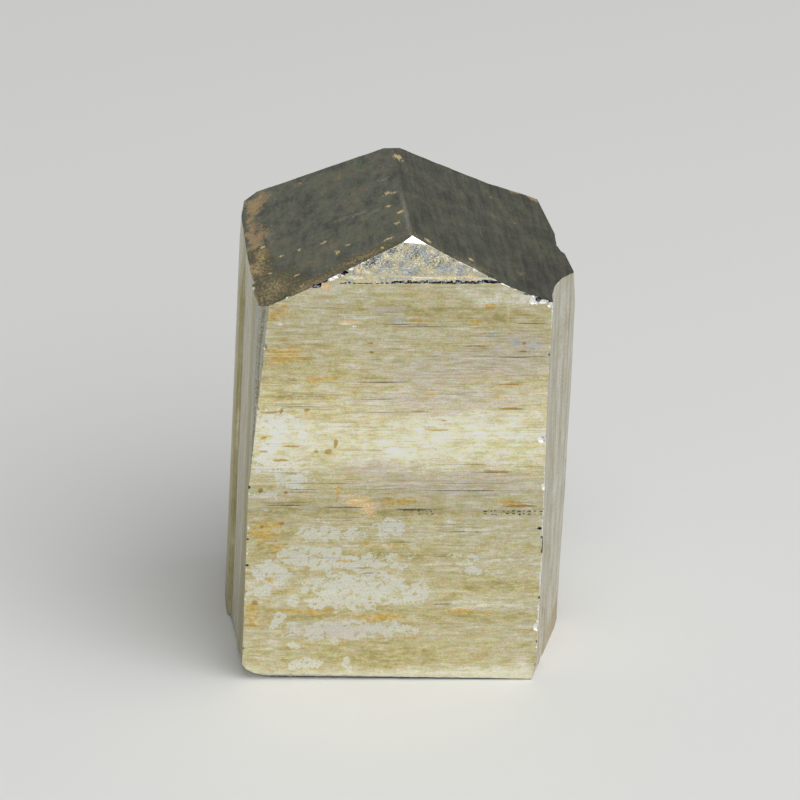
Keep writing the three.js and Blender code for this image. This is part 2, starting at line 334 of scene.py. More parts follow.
def remove(obj):
    mesh = obj.data
    bpy.data.objects.remove(obj)
    bpy.data.meshes.remove(mesh)


def select_edges(obj, wanted):
    """Selects the edges for which wanted(start, end) is true, and nothing else. Ends in edit mode."""
    bpy.ops.mesh.select_mode(type="EDGE")
    bpy.ops.mesh.select_all(action="DESELECT")
    leave_edit()
    mesh = obj.data
    for edge in mesh.edges:
        start, end = (mesh.vertices[index].co for index in edge.vertices)
        edge.select = wanted(start, end)
    bpy.ops.object.mode_set(mode="EDIT")


def outline_points(corners):
    """Points along a closed outline. Each corner has its two coordinates and the greatest distance between
    the points on the side that follows it."""
    points = []
    for index, (a, b, spacing) in enumerate(corners):
        next_a, next_b = corners[(index + 1) % len(corners)][:2]
        count = max(1, math.ceil(math.hypot(next_a - a, next_b - b) / spacing))
        points += [
            (a + (next_a - a) * part / count, b + (next_b - b) * part / count) for part in range(count)
        ]
    return points


def bar(name, corners, to_crystal, start, end, rows):
    """A straight bar, closed and with its side faces cut into rows. to_crystal turns a point of the section
    and a distance along the bar into x, y and z."""
    points = outline_points(corners)
    deselect_all()
    bpy.ops.mesh.primitive_circle_add(vertices=len(points), radius=FRONT_WIDTH * MM)
    obj = bpy.context.object
    obj.name = name
    for vertex, (a, b) in zip(obj.data.vertices, points):
        vertex.co = place(*to_crystal(a, b, start))
    edit(obj)
    bpy.ops.mesh.select_all(action="SELECT")
    bpy.ops.mesh.edge_face_add()
    run = place(*to_crystal(0, 0, end)) - place(*to_crystal(0, 0, start))
    bpy.ops.mesh.extrude_region_move(TRANSFORM_OT_translate={"value": run})
    direction = run.normalized()
    length = run.length
    select_edges(obj, lambda low, high: abs((high - low).dot(direction)) > 0.99 * length)
    bpy.ops.mesh.subdivide(number_cuts=rows - 1)
    face_outwards()
    return obj


def relieve(obj, depth_of, reach=(-1, -1, -1)):
    """Moves the surface along its normal by a depth in millimetres, which depth_of works out from the place
    and the normal. reach scales the move along x, y and z: it is negative on a body, whose surface sinks, and
    positive on a cutter, which sinks the surface that it leaves."""
    tree = bpy.data.node_groups.new(obj.name + "_relief", "GeometryNodeTree")
    tree.interface.new_socket("Geometry", in_out="INPUT", socket_type="NodeSocketGeometry")
    tree.interface.new_socket("Geometry", in_out="OUTPUT", socket_type="NodeSocketGeometry")
    formula = Formula(tree)
    mesh = formula.node("NodeGroupInput")
    normal = formula.node("GeometryNodeInputNormal")
    position = formula.vector_math("SUBTRACT", formula.node("GeometryNodeInputPosition"), tuple(ORIGIN))
    spot = formula.parts(formula.scaled(position, 1 / MM))
    depth = depth_of(formula, *spot, formula.parts(normal))
    along = formula.vector_math("MULTIPLY", normal, tuple(share * MM for share in reach))
    move = {"Geometry": mesh, "Offset": formula.scaled(along, depth)}
    moved = formula.node("GeometryNodeSetPosition", move)
    tree.links.new(moved.socket, tree.nodes.new("NodeGroupOutput").inputs[0])
    make_active(obj)
    modifier = obj.modifiers.new("relief", "NODES")
    modifier.node_group = tree
    bpy.ops.object.modifier_apply(modifier=modifier.name)
    bpy.data.node_groups.remove(tree)


def combine(obj, other, operation):
    """Joins other to obj, cuts obj by it or keeps what they share. other is used up."""
    make_active(obj)
    modifier = obj.modifiers.new("combine", "BOOLEAN")
    modifier.operation = operation
    modifier.solver = "MANIFOLD"
    modifier.object = other
    bpy.ops.object.modifier_apply(modifier=modifier.name)
    remove(other)


def give_materials(obj, materials, index_of):
    """Gives a piece all the materials, and each face the one that index_of finds for its normal."""
    obj.data.materials.clear()
    for material in materials:
        obj.data.materials.append(material)
    for face in obj.data.polygons:
        face.material_index = index_of(face.normal)


# The three bars whose common part is the main form. Each corner has two coordinates and the spacing of the
# points on the side that follows it
UNCUT = 60
FINE = 0.14
PLAN = [
    (0, -1, UNCUT), (FRONT_WIDTH, -1, UNCUT), (FRONT_WIDTH, 0, FINE), (*RIB, 0.25), (28.2, 11.3, 0.25),
    (27.05, 12, 0.25), (26.8, 13, FINE), (27.2, 21.6, 0.3), (26.4, 23.3, 0.3), (24, 23.8, UNCUT),
    (24, 25, UNCUT), (3, 25, UNCUT), (3, 23.8, 0.3), (0.3, 22.2, FINE), (-0.25, 18.4, FINE),
    (-LEFT_BULGE, 15.2, FINE), (-LEFT_BULGE, 12, FINE), (-0.2, 11.7, FINE), (-0.05, 7.2, FINE),
    (0.05, 5.8, FINE), (-0.1, 5.4, FINE), (0, 2.8, FINE), (0, 0, UNCUT),
]
ROOF_SECTION = [
    (-0.8, -MARGIN, UNCUT), (RIB[0] + 0.2, -MARGIN, UNCUT), (RIB[0] + 0.2, 12, 2), (28.2, 31.5, 1),
    (27.75, 34.9, FINE), (*BREAK_RIGHT, FINE), (RIDGE_X, RIDGE_HEIGHT, FINE), (*BREAK_LEFT, FINE),
    (-0.8, 34.65, UNCUT),
]
FRONT_TO_BACK = [(0, -MARGIN, UNCUT), (DEPTH, -MARGIN, 0.2), (DEPTH, 42, UNCUT), (0, 42, 0.1)]


def main_form(materials, ledge_depth, line_depth):
    def slab_relief(formula, x, y, z, normal):
        front = formula.math("LESS_THAN", normal[1], -0.5)
        notches = formula.step(near(formula, x, z, HAIRLINES), 0.0, 0.4) * line_depth
        front_depth = striated(formula, z, x, 1.0, ledge_depth) + notches
        return formula.blend(striated(formula, z, x, 7.0, 2 * ledge_depth), front_depth, front)

    def column_relief(formula, x, y, z, normal):
        left = formula.math("LESS_THAN", normal[0], -0.5) * formula.step(y, 0.5, 2.8)
        right = formula.math("GREATER_THAN", normal[0], 0.5) * (1 - formula.step(y, 3.0, 9.0))
        belly = formula.step(z, -0.8, 2.2) * (1 - formula.step(z, 5.0, 31.0)) * right * RIGHT_BELLY
        return striated(formula, y, z, 3.0, ledge_depth) + left * z * LEFT_LEAN - belly

    def roof_relief(formula, x, y, z, normal):
        left = formula.math("LESS_THAN", x, RIDGE_X)
        lumps = formula.noise((x * 0.9, y * 0.6), 4) * 0.12 * left
        return striated(formula, x, y, 5.0, 0.6 * ledge_depth) + lumps

    slab = bar("front_to_back", FRONT_TO_BACK, lambda a, b, t: (t, a, b), -MARGIN, RIB[0] + MARGIN, rows=60)
    relieve(slab, slab_relief)
    give_materials(slab, materials, lambda normal: FRONT if normal.y < 0 else BACK)
    column = bar("column", PLAN, lambda a, b, t: (a, b, t), 0, RIDGE_HEIGHT + MARGIN, rows=40)
    relieve(column, column_relief, (-1, -1, 0))
    give_materials(column, materials, lambda normal: SIDE)
    roof = bar("roof", ROOF_SECTION, lambda a, b, t: (a, t, b), -MARGIN, DEPTH + MARGIN, rows=50)
    relieve(roof, roof_relief)
    give_materials(roof, materials, lambda normal: ROOF if normal.z > 0.5 else SIDE)
    combine(slab, column, "INTERSECT")
    combine(slab, roof, "INTERSECT")
    slab.name = PIECE
    slab.data.name = PIECE
    return slab


def settle(obj, turn, middle):
    """Turns a piece and moves it to its place, both in its mesh."""
    obj.rotation_mode = "QUATERNION"
    obj.rotation_quaternion = turn
    obj.location = middle
    bpy.ops.object.transform_apply(location=True, rotation=True, scale=False)


# Faces that cut corners and edges off the main form
CUTTER_THICKNESS = 12


def cutting_block(materials, material, point, outward, size, cells=(1, 1), relief=None, shift=(0, 0)):
    """A block that lies on the outer side of a plane. Its inner face, cut into cells, has the point in its
    middle unless it is shifted."""
    deselect_all()
    bpy.ops.mesh.primitive_grid_add(x_subdivisions=cells[0], y_subdivisions=cells[1], size=1)
    obj = bpy.context.object
    obj.name = "cutter"
    obj.scale = (size[0] * MM, size[1] * MM, 1)
    obj.location = (shift[0] * MM, shift[1] * MM, 0)
    bpy.ops.object.transform_apply(location=True, rotation=False, scale=True)
    edit(obj)
    bpy.ops.mesh.select_all(action="SELECT")
    bpy.ops.mesh.extrude_region_move(TRANSFORM_OT_translate={"value": (0, 0, CUTTER_THICKNESS * MM)})
    face_outwards()
    settle(obj, Vector(outward).to_track_quat("Z", "Y"), place(*point))
    if relief:
        relieve(obj, relief, (1, 1, 1))
    give_materials(obj, materials, lambda normal: material)
    return obj


def rough(amount, size, seed=0.0):
    """The relief of a broken surface: lumps of a size, in millimetres, and up to an amount deep."""
    def depth_of(formula, x, y, z, normal):
        return formula.noise((x, y, z + seed), 4, 0.6, 1 / size) * amount
    return depth_of


def back_facet_relief(formula, x, y, z, normal):
    return striated(formula, z * 1.2 + y, x, 11.0, 0.11)


def facet_relief(formula, x, y, z, normal):
    low = 1 - formula.step(z, FACET_START + 0.5, FACET_START + 0.9)
    lumps = formula.noise((x, 0, z), 5, scale=1.4)
    return lumps * 0.07 + growth_steps(formula, z, x, 0.28, 0.03, 6.0, 31.0) * low


# Material, point, outward direction, size, cells and relief of each corner face
CORNER_FACES = [
    (BACK, (2.8, 22.42, 36.7), (-0.037, 1, 0.511), (70, 16), (60, 160), back_facet_relief),
    (BACK, (2.8, 23.55, 36.7), (0.085, 1, 0.511), (70, 16), (60, 160), back_facet_relief),
    (SIDE, (27.75, 8.1, 35), (0.967, 0.109, 0.232), (60, 60), (1, 1), None),
    (SIDE, (-0.33, 15, 31), (-1, 0, 0.11), (60, 60), (1, 1), None),
    (BEVEL, (1, 0, 33), (-1, -1, 0.067), (12, 90), (24, 300), rough(0.08, 0.6)),
    (BEVEL, (0.5, 0, 35.7), (-1, -0.085, 0.03), (60, 60), (1, 1), None),
    (CLEAN, (RIDGE_X, 1.05, 40.85), (0.04, -0.7, 0.71), (20, 20), (1, 1), None),
    (ROOF, (RIDGE_X, 20.4, 41.08), (-0.05, 0.15, 1), (20, 20), (40, 40), rough(0.1, 0.9)),
    (ROOF, (RIDGE_X, 10, RIDGE_HEIGHT - 0.06), (0, 0, 1), (90, 90), (1, 1), None),
    (FOOT, (0, 0, 0.72), (-0.029, -1, -1.1), (80, 6), (260, 20), rough(0.12, 0.7)),
    (BEVEL, (0.25, 0, 1.2), (-0.8, -0.1, -0.6), (60, 6), (100, 12), rough(0.15, 0.8)),
    (FOOT, (1, 0, 0.75), (-0.45, -0.1, -0.9), (60, 6), (100, 12), rough(0.12, 0.7)),
    (FRACTURE, (0.1, 22.3, 3), (-0.4, 0.85, -0.35), (30, 30), (80, 80), rough(0.3, 1.2)),
    (FRACTURE, (26.9, 22.4, 2.2), (0.5, 0.8, -0.4), (30, 30), (80, 80), rough(0.3, 1.2)),
    (FRACTURE, (27.9, 12, 0.4), (0.5, 0.2, -0.85), (30, 30), (80, 80), rough(0.2, 0.9)),
]

# Worn edges: a point on each, its outward direction and how much is worn off
WORN_EDGES = [
    ((FRONT_WIDTH, 0, 32), (0.949, -1.315, 0.014), 0.05),
    ((17, 0.584, 39.47), (0.434, -0.95, 1.21), 0.05),
    ((10, 0.743, 39.95), (-0.434, -0.95, 1.21), 0.05),
    ((23, 0, 36.7), (0.357, -1, 0.934), 0.03),
    ((4, 0, 37.02), (-0.443, -1, 0.897), 0.06),
    ((-0.3, 10, 34.9), (-1.443, 0, 0.897), 0.06),
]


def facet_block(materials):
    """The triangular facet on the front. Left of the break in the roof the front face runs on upwards."""
    width, height, overlap = 24, 9, 0.4
    return cutting_block(
        materials, FACET, (BREAK_LEFT[0], 0, FACET_START), (0, -1, FACET_LEAN), (width, height), (200, 90),
        facet_relief, (width / 2, height / 2 - overlap),
    )


def rod(name, sides, radius, length, rows, turn, middle):
    """A straight rod whose length is cut into rows, turned from upright and moved to its place."""
    deselect_all()
    bpy.ops.mesh.primitive_cylinder_add(vertices=sides, radius=radius * MM, depth=length)
    obj = bpy.context.object
    obj.name = name
    edit(obj)
    select_edges(obj, lambda low, high: abs((high - low).z) > 0.5 * length)
    bpy.ops.mesh.subdivide(number_cuts=rows - 1)
    leave_edit()
    settle(obj, turn, middle)
    return obj


SCOOP_RADIUS = 14.1
SCOOP_AXIS = (39.15, -0.2, 35)
SCOOP_LEAN = 0.02
FISSURE = ((22.4, -0.4, 37.02), (21.8, 8.3, 37.3))
FISSURE_RADIUS = 0.09


def scoop(materials, ledge_depth):
    """The round hollow in the upper part of the right flank."""
    lean = Quaternion((0, 1, 0), -SCOOP_LEAN)
    obj = rod("scoop", 420, SCOOP_RADIUS, 2 * RIDGE_HEIGHT * MM, 61, lean, place(*SCOOP_AXIS))
    relieve(obj, lambda formula, x, y, z, normal: striated(formula, y, z, 13, ledge_depth), (1, 1, 0))
    give_materials(obj, materials, lambda normal: SIDE)
    return obj


def fissure(materials):
    """The fissure that runs back from the front edge over the right roof face."""
    front, back = (place(*point) for point in FISSURE)
    run = back - front
    obj = rod("fissure", 4, FISSURE_RADIUS, run.length, 41, run.to_track_quat("Z", "Y"), (front + back) / 2)
    relieve(obj, rough(0.12, 0.5))
    give_materials(obj, materials, lambda normal: GROOVE)
    return obj


# Chips and pits: middle, half sizes and material of each
CHIPS = [
    ((23.4, 0, 36.1), (0.62, 0.3, 0.56), FRACTURE),
    ((24.15, 0, 36), (0.55, 0.3, 0.3), FRACTURE),
    ((23.7, -0.05, 36.2), (0.4, 0.6, 0.38), GROOVE),
    ((24.75, 0, 35.75), (0.36, 0.3, 0.4), FRACTURE),
    ((25, 0, 35.25), (0.2, 0.2, 0.22), FRACTURE),
    ((24.7, 0, 36), (0.2, 0.4, 0.16), GROOVE),
    ((22.7, 0, 36.75), (0.4, 0.25, 0.16), GROOVE),
    ((24.75, 0, 23.3), (0.6, 0.3, 0.75), FRACTURE),
    ((25.2, 0, 18.7), (0.4, 0.28, 0.5), FRACTURE),
    ((25.38, 0, 13.1), (0.16, 0.3, 1.5), GROOVE),
    ((25, 0, 14.7), (0.3, 0.2, 0.2), GROOVE),
    ((25.3, 0, 5.2), (0.5, 0.32, 0.55), FRACTURE),
    ((25.05, 0, 29.6), (0.22, 0.2, 0.5), FRACTURE),
    ((0.95, 0, 31.8), (0.3, 0.3, 0.45), BEVEL),
    ((0.5, 0, 26), (0.25, 0.2, 0.35), BEVEL),
    ((0.1, 0, 11.2), (0.3, 0.25, 0.16), GROOVE),
    ((0, 0, 7), (0.25, 0.25, 0.4), FRACTURE),
    ((0.1, 5.6, 35.15), (0.4, 0.35, 0.35), FRACTURE),
    ((0.15, 4.5, 35.05), (0.3, 0.5, 0.3), FRACTURE),
    ((-0.25, 13.2, 34.9), (0.25, 0.6, 0.3), FRACTURE),
    ((4.8, 0.1, 37.4), (0.26, 0.35, 0.13), GROOVE),
    ((6.2, 0.1, 38.05), (0.7, 0.3, 0.24), FRACTURE),
    ((6.75, 0.1, 38.2), (0.12, 0.4, 0.16), GROOVE),
    ((7.4, 0.2, 38.55), (0.5, 0.4, 0.24), GROOVE),
    ((8.1, 0.2, 39), (0.4, 0.3, 0.2), FRACTURE),
    ((2.6, 0.1, 36.35), (0.45, 0.25, 0.2), FRACTURE),
    ((2.2, 0, 33.87), (0.34, 0.12, 0.14), FRACTURE),
    ((7.6, 0, 33.92), (0.7, 0.1, 0.07), FRACTURE),
    ((8.4, 0, 33.7), (0.34, 0.1, 0.12), FRACTURE),
    ((9.6, 0, 16.9), (0.9, 0.14, 0.32), FRONT),
    ((12.2, 1.1, 41.2), (0.3, 0.4, 0.14), FRACTURE),
    ((13.3, 5.4, 41.5), (0.5, 0.9, 0.2), ROOF),
    ((12.9, 9.6, 41.5), (0.45, 0.7, 0.2), ROOF),
    ((13.2, 14.6, 41.5), (0.5, 1.1, 0.22), ROOF),
    ((17.8, 24, 30), (3.2, 0.6, 2.2), FRACTURE),
    ((8.5, 24.2, 9), (2.6, 0.7, 1.8), FRACTURE),
    ((26.9, 23.2, 14), (0.7, 0.8, 1.6), FRACTURE),
    ((1.5, 23.2, 20), (0.8, 0.7, 1.4), FRACTURE),
]

# Edges with small nicks: both ends, the number of nicks and their greatest half size
NICKED_EDGES = [
    ((25.35, 0, 1), (25.35, 0, 12), 16, 0.2),
    ((25.3, 0, 12), (25, 0, 30), 22, 0.2),
    ((25, 0, 30), (25, 0, 36), 8, 0.2),
    ((0.1, 0, 1.5), (0.1, 0, 20), 30, 0.18),
    ((0.2, 0, 20), (1.1, 0, 35.4), 28, 0.18),
    ((1.1, 0, 35.6), (4.6, 0, 37.35), 14, 0.18),
    ((4.6, 0, 37.35), (7.4, 0.2, 38.7), 26, 0.3),
    ((7.4, 0.3, 38.7), (11.4, 0.9, 40.6), 34, 0.22),
    ((14.6, 0.9, 40.6), (21, 0, 37.5), 22, 0.13),
    ((21, 0, 37.5), (24.9, 0, 36), 20, 0.24),
    ((0.1, 1, 35.1), (-0.1, 21.5, 35), 18, 0.22),
    ((25.4, 2, 35.9), (27.5, 8, 35), 5, 0.12),
    ((13, 2, 41.45), (13, 18.5, 41.45), 10, 0.2),
    ((2, 0.7, 0), (24.5, 0.6, 0), 44, 0.3),
    ((0.6, 2, 0), (0.6, 21, 0), 16, 0.4),
    ((25.6, 1, 0), (28.2, 10, 0), 8, 0.3),
    ((4, 23.7, 0), (24, 23.7, 0), 16, 0.5),
]
DARK_SHARE = 0.34  # of the nicks, the share that are dark pits
STONE_KINDS = 5
LARGE_BITE = 0.45
GROOVE_END = 20.8
GROOVE_HEAVY_FROM = 18.4
GROOVE_FLOOR = FACET_START - 0.1
SEAM_STRETCHES = [(13, 16.1, 1), (20.2, 25.2, 1.5)]  # start and end in x, and how heavy the pits are
SEAM_HEIGHTS = (16.36, 16.08)


def rough_stones(detail):
    """Lumps with a broken surface, about one millimetre in half size. Copies of them bite the chips out."""
    stones = []
    for kind in range(STONE_KINDS):
        deselect_all()
        bpy.ops.mesh.primitive_ico_sphere_add(subdivisions=detail, radius=MM)
        stone = bpy.context.object
        relieve(stone, rough(0.6, 0.8, 5.3 * kind))
        stones.append(stone)
    return stones


def nicks(wear):
    """Middle, half sizes and material of each small nick along the edges."""
    pick = random.Random(5).uniform
    bites = []
    for start, end, count, largest in NICKED_EDGES:
        run = Vector(end) - Vector(start)
        for index in range(count):
            share = (index + pick(0, 1)) / count
            size = wear * largest * pick(0.25, 1) ** 2
            middle = [low + (high - low) * share + pick(-0.3, 0.3) * size for low, high in zip(start, end)]
            halves = [
                size * pick(0.7, 1.3) * (1 + 1.6 * abs(part) / run.length * pick(0, 1)) for part in run
            ]
            bites.append((middle, halves, GROOVE if pick(0, 1) < DARK_SHARE else FRACTURE))
    return bites


def groove_pits():
    """Middle, half sizes and material of the pits that make the dark groove at the foot of the facet."""
    pick = random.Random(8).uniform
    pits = []
    x = BREAK_LEFT[0] - 0.3
    while x < GROOVE_END:
        # The groove is fine at its left end and coarse at its right end
        heavy = 1.15 if x > GROOVE_HEAVY_FROM else min(0.85, max(0.4, (x - 8) / 6))
        half_height = heavy * pick(0.1, 0.28)
        height = GROOVE_FLOOR + half_height
        pits.append(((x, 0.04, height), (pick(0.14, 0.34), 0.2, half_height), GROOVE))
        x += pick(0.1, 0.22) / heavy
    return pits


def seam_pits():
    """Middle, half sizes and material of the pits that make the dotted dark seam across the front."""
    pick = random.Random(3).uniform
    pits = []
    for start, end, heavy in SEAM_STRETCHES:
        x = start
        while x < end:
            for height in SEAM_HEIGHTS:
                middle = (x + pick(-0.1, 0.1), 0, height + pick(-0.03, 0.03))
                pits.append((middle, (heavy * pick(0.04, 0.22), 0.1, heavy * pick(0.04, 0.09)), GROOVE))
            x += pick(0.34, 0.62)
    return pits


def apart(bite, others):
    """True if a bite touches none of the others."""
    middle, halves, material = bite
    return all(
        (Vector(middle) - Vector(other)).length > max(halves) + max(other_halves)
        for other, other_halves, other_material in others
    )


def separate_groups(bites):
    """The bites in groups in which none touches another, so that a group can be one cutter."""
    groups = []
    for bite in bites:
        group = next((group for group in groups if apart(bite, group)), None)
        if group is None:
            groups.append([bite])
        else:
            group.append(bite)
    return groups


def bite_out(crystal, bites, materials):
    """Bites chips, nicks and pits out of the crystal."""
    coarse, fine = rough_stones(2), rough_stones(3)
    for group in separate_groups(bites):
        lumps = []
        for index, (middle, halves, material) in enumerate(group):
            kinds = fine if max(halves) > LARGE_BITE else coarse
            lump = kinds[index % STONE_KINDS].copy()
            lump.data = lump.data.copy()
            lump.scale = halves
            lump.location = place(*middle)
            bpy.context.collection.objects.link(lump)
            give_materials(lump, materials, lambda normal, index=material: index)
            lumps.append(lump)
        make_active(lumps[0])
        for lump in lumps:
            lump.select_set(True)
        bpy.ops.object.join()
        bpy.ops.object.transform_apply(location=True, rotation=True, scale=True)
        combine(crystal, lumps[0], "DIFFERENCE")
    for stone in (*coarse, *fine):
        remove(stone)


def check_closed(crystal):
    """Raises an error if the crystal's surface has a hole."""
    edit(crystal)
    bpy.ops.mesh.select_mode(type="EDGE")
    bpy.ops.mesh.select_all(action="DESELECT")
    bpy.ops.mesh.select_non_manifold()
    leave_edit()
    open_edges = sum(edge.select for edge in crystal.data.edges)
    if open_edges or not crystal.data.polygons:
        raise RuntimeError(f"The crystal's surface isn't closed: {open_edges} open edges")


# Marks on the front face: x and z of the middle, half width and half height
FRONT_MARKS = {
    "bare": [
        (6.3, 14.3, 4, 1.4), (9.1, 14.2, 1.6, 1.2), (12.2, 14.7, 2.4, 1.4), (5.4, 12.4, 6.2, 1),
        (8.1, 11.5, 10, 1.3), (2.1, 10.4, 2.8, 2.2), (1.4, 8.7, 1.8, 1.1), (9.6, 8.7, 7.8, 3.3),
        (14.4, 8.6, 2.8, 1.8), (4.2, 7.6, 0.9, 1.1), (6.3, 7.5, 1.7, 0.8), (8.8, 4.9, 9.3, 1.6),
        (2.9, 5.8, 0.8, 1.3), (4.3, 3.4, 0.9, 0.8), (5.6, 1.5, 2.6, 1), (9.1, 1.7, 0.5, 1.6),
        (17.8, 12.2, 1.4, 0.5), (19.3, 11.7, 0.8, 0.9), (19.6, 10.6, 2.2, 0.5), (2.2, 24.7, 3.2, 1.9),
        (1.7, 22.4, 1.6, 1.4), (0.9, 21.3, 0.9, 0.5), (1.1, 20.5, 1.5, 1), (2.8, 20.6, 1.2, 1.2),
        (3.9, 19.1, 2.8, 1.5), (4.4, 23.6, 0.7, 0.9), (1.8, 17.9, 1, 0.6), (1.7, 16.5, 0.9, 0.3),
    ],
    "golden": [
        (3.6, 30.4, 6, 3.4), (3, 27.4, 5, 1.6), (9, 28.6, 6, 1.8), (13.6, 35.4, 7, 1.6), (20, 34.4, 7, 1.2),
        (1.6, 13.4, 3.2, 2.6), (20, 9, 7, 1.6), (14, 12.2, 8, 1), (13, 2.4, 14, 2.2), (12, 16.3, 9, 1.2),
        (2, 16, 4, 1.4), (6, 21.4, 4, 3), (19.6, 6.4, 6, 1.2), (7.2, 6.4, 14, 1.6), (19.4, 20.5, 1.6, 0.5),
    ],
    "mauve": [
        (17, 19, 10, 1.7), (11, 20.4, 4, 1.3), (20, 30.4, 7, 2.4), (15, 29.2, 6, 2), (22.5, 32, 3, 2),
        (16, 26.8, 10, 2), (11.4, 35.3, 2, 0.6), (8, 4.9, 6, 1.2), (18.2, 31.2, 1.4, 0.6),
    ],
    "pale": [
        (16, 22.4, 13, 2.8), (18, 24.8, 9, 1.2), (5, 22, 6, 3.4), (20.4, 36.4, 5, 1.2), (17, 1, 14, 0.9),
        (20.4, 7.3, 4, 1.2),
    ],
    "blue": [
        (12.2, 34.3, 1.6, 0.45), (22.1, 32.3, 0.8, 0.6), (23.7, 31.9, 0.6, 0.5), (20, 32.8, 0.7, 0.6),
        (1.9, 35.4, 0.8, 0.7), (5.6, 16.8, 1.8, 0.25),
    ],
    "rust": [
        (1, 35, 1.5, 1.5), (2.4, 35.6, 1, 0.8), (2.6, 13, 2.4, 0.9), (1.5, 14.4, 2.6, 2.2),
        (0.7, 7.1, 1.1, 1.2), (0.8, 5.9, 1.4, 1.4), (5, 6.8, 6.4, 0.5), (12, 6.1, 5, 0.75),
        (7.7, 18.1, 0.6, 1), (13, 17.2, 3, 0.9), (13.7, 34.3, 1.2, 0.6), (18.5, 34.2, 1.3, 0.7),
        (19.9, 35.7, 0.8, 0.45), (21, 27, 1, 0.3), (15.3, 27.35, 2.2, 0.3), (1.8, 34.7, 1.6, 1.1),
        (2.6, 31.2, 4, 2), (2.3, 9.8, 1.2, 0.7), (8.6, 11.5, 1.6, 0.3), (5.6, 28.8, 3, 0.5),
        (22.6, 17.05, 2.6, 0.5), (18.5, 6.8, 3, 0.5), (20.8, 6.4, 1.6, 0.4), (11.6, 13.2, 3, 0.4),
    ],
    "scab": [(9.1, 17.3, 2.6, 1), (10.3, 16.6, 1.6, 1.3), (7.9, 34.1, 1.3, 0.3), (5.7, 37.3, 0.9, 0.5)],
}
# Crisp brown marks on the front
SMALL_MARKS = [
    (2.64, 21.2, 0.9, 0.14), (3.5, 22.55, 0.95, 0.14), (2.64, 25.8, 0.28, 0.32), (1.5, 25.7, 1, 0.14),
    (4.7, 25.9, 0.24, 0.22), (1.1, 23.3, 0.28, 0.18), (6.6, 22, 0.42, 0.32), (7.2, 22.8, 0.2, 0.55),
    (5.7, 22, 0.2, 0.16), (1.1, 18.3, 0.24, 0.28), (3.1, 18.1, 0.22, 0.18), (1.2, 22, 0.5, 0.12),
    (22, 26, 1.3, 0.15), (21, 20.1, 1.4, 0.17), (15.8, 24.06, 1.6, 0.08), (14.2, 25.8, 1, 0.08),
    (21.7, 28.3, 1.5, 0.1), (18.6, 31.9, 1.3, 0.1), (9.8, 32.1, 0.3, 0.15), (9.9, 31.25, 0.3, 0.15),
    (22.8, 32.2, 0.26, 0.18), (22.7, 31.4, 0.5, 0.12), (23.3, 16.8, 1.9, 0.15), (0.9, 7.6, 0.3, 0.3),
    (1.2, 14.9, 0.26, 0.18), (2.9, 15.2, 0.3, 0.2),
]
FACET_RUST = [(8.5, 38.6, 0.5, 0.5), (17.8, 38.2, 1.4, 0.2)]
FACET_PITS = [(9.6, 39.4, 2, 0.9), (11.6, 40.4, 1.6, 0.7), (13.4, 40, 1.2, 0.8), (15.4, 39.4, 2, 0.6)]

# Brightness up the height of the front: a share of the height and the brightness there, which the ramp
# holds as a share of RAMP_TOP
RAMP_TOP = 1.2
FRONT_SHADE = [
    (0.02, 1.1), (0.06, 1), (0.14, 1), (0.2, 1.03), (0.3, 0.96), (0.37, 0.92), (0.4, 0.82), (0.44, 0.9),
    (0.48, 1), (0.53, 1.22), (0.58, 1.23), (0.63, 1.13), (0.69, 1.02), (0.74, 0.92), (0.83, 0.86),
    (0.9, 0.89),
]

# Marks on the roof: x and y of the middle and the half sizes
ROOF_RUST = [
    (1.4, 20, 2.2, 4), (1.3, 14, 1.8, 5), (1.2, 10, 1.2, 4), (5.4, 20.8, 0.7, 0.6), (25.6, 21.8, 4, 1),
]
ROOF_DUST = [
    (1.4, 2.4, 3.4, 4.4), (4.5, 0.6, 5, 1.6), (9, 1.4, 4, 1.4), (0.8, 8, 1.6, 5), (13.3, 1.8, 1, 1.2),
    (17.5, 1, 5, 1.2),
]
ROOF_FLECKS = [
    (12.5, 7, 0.5, 0.5), (12.1, 5.1, 0.5, 0.5), (11.7, 9, 0.5, 0.45), (11.8, 11.5, 0.5, 0.5),
    (12.4, 11.1, 0.45, 0.4), (13.3, 18, 0.7, 1), (6.2, 7.4, 0.5, 0.4), (7.1, 4.4, 0.35, 0.9),
    (1.4, 11.5, 0.4, 0.4), (4.2, 8, 0.35, 0.4), (2.8, 8.4, 0.4, 0.3), (1.7, 6, 0.4, 0.35),
    (3.7, 3.5, 0.45, 0.35), (4, 1.2, 0.4, 0.35), (14.4, 2, 0.5, 0.6), (18.1, 2.2, 0.4, 0.4),
    (11.2, 2.9, 0.8, 0.35), (10.6, 1.8, 0.3, 0.5), (8.1, 5, 0.4, 0.25),
]
# Pale streaks along a small ridge on the left roof are a painted highlight
ROOF_STREAKS = [(8, 10.3, 1.8, 0.34), (9.4, 9.9, 1.4, 0.36), (10.6, 9.2, 1.2, 0.34), (11.9, 14.5, 0.9, 0.4)]
RIDGE_WEAR = [(RIDGE_X - 0.1, 6, 0.45, 10)]

# Olive stripes of the left side, from the front to the back: a share of the depth and how olive it is there
OLIVE_STRIPES = [
    (0, 0.9), (0.18, 0.9), (0.23, 0.1), (0.46, 0), (0.5, 0.9), (0.6, 0.85), (0.64, 0.3), (0.72, 0),
    (1, 0.1),
]
OLIVE_SHARES = (0.69, 0.66, 0.42)  # of the light stripes' colour
RIB_RUST = [(8.6, 0.8, 3, 2)]  # at the foot of the right side: y and z of the middle and the half sizes
# How much of the back each tone covers
BACK_SHARES = {
    "golden": 0.5, "mauve": 0.35, "pale": 0.3, "blue": 0.05, "bare": 0.3, "rust": 0.2, "scab": 0.02,
}

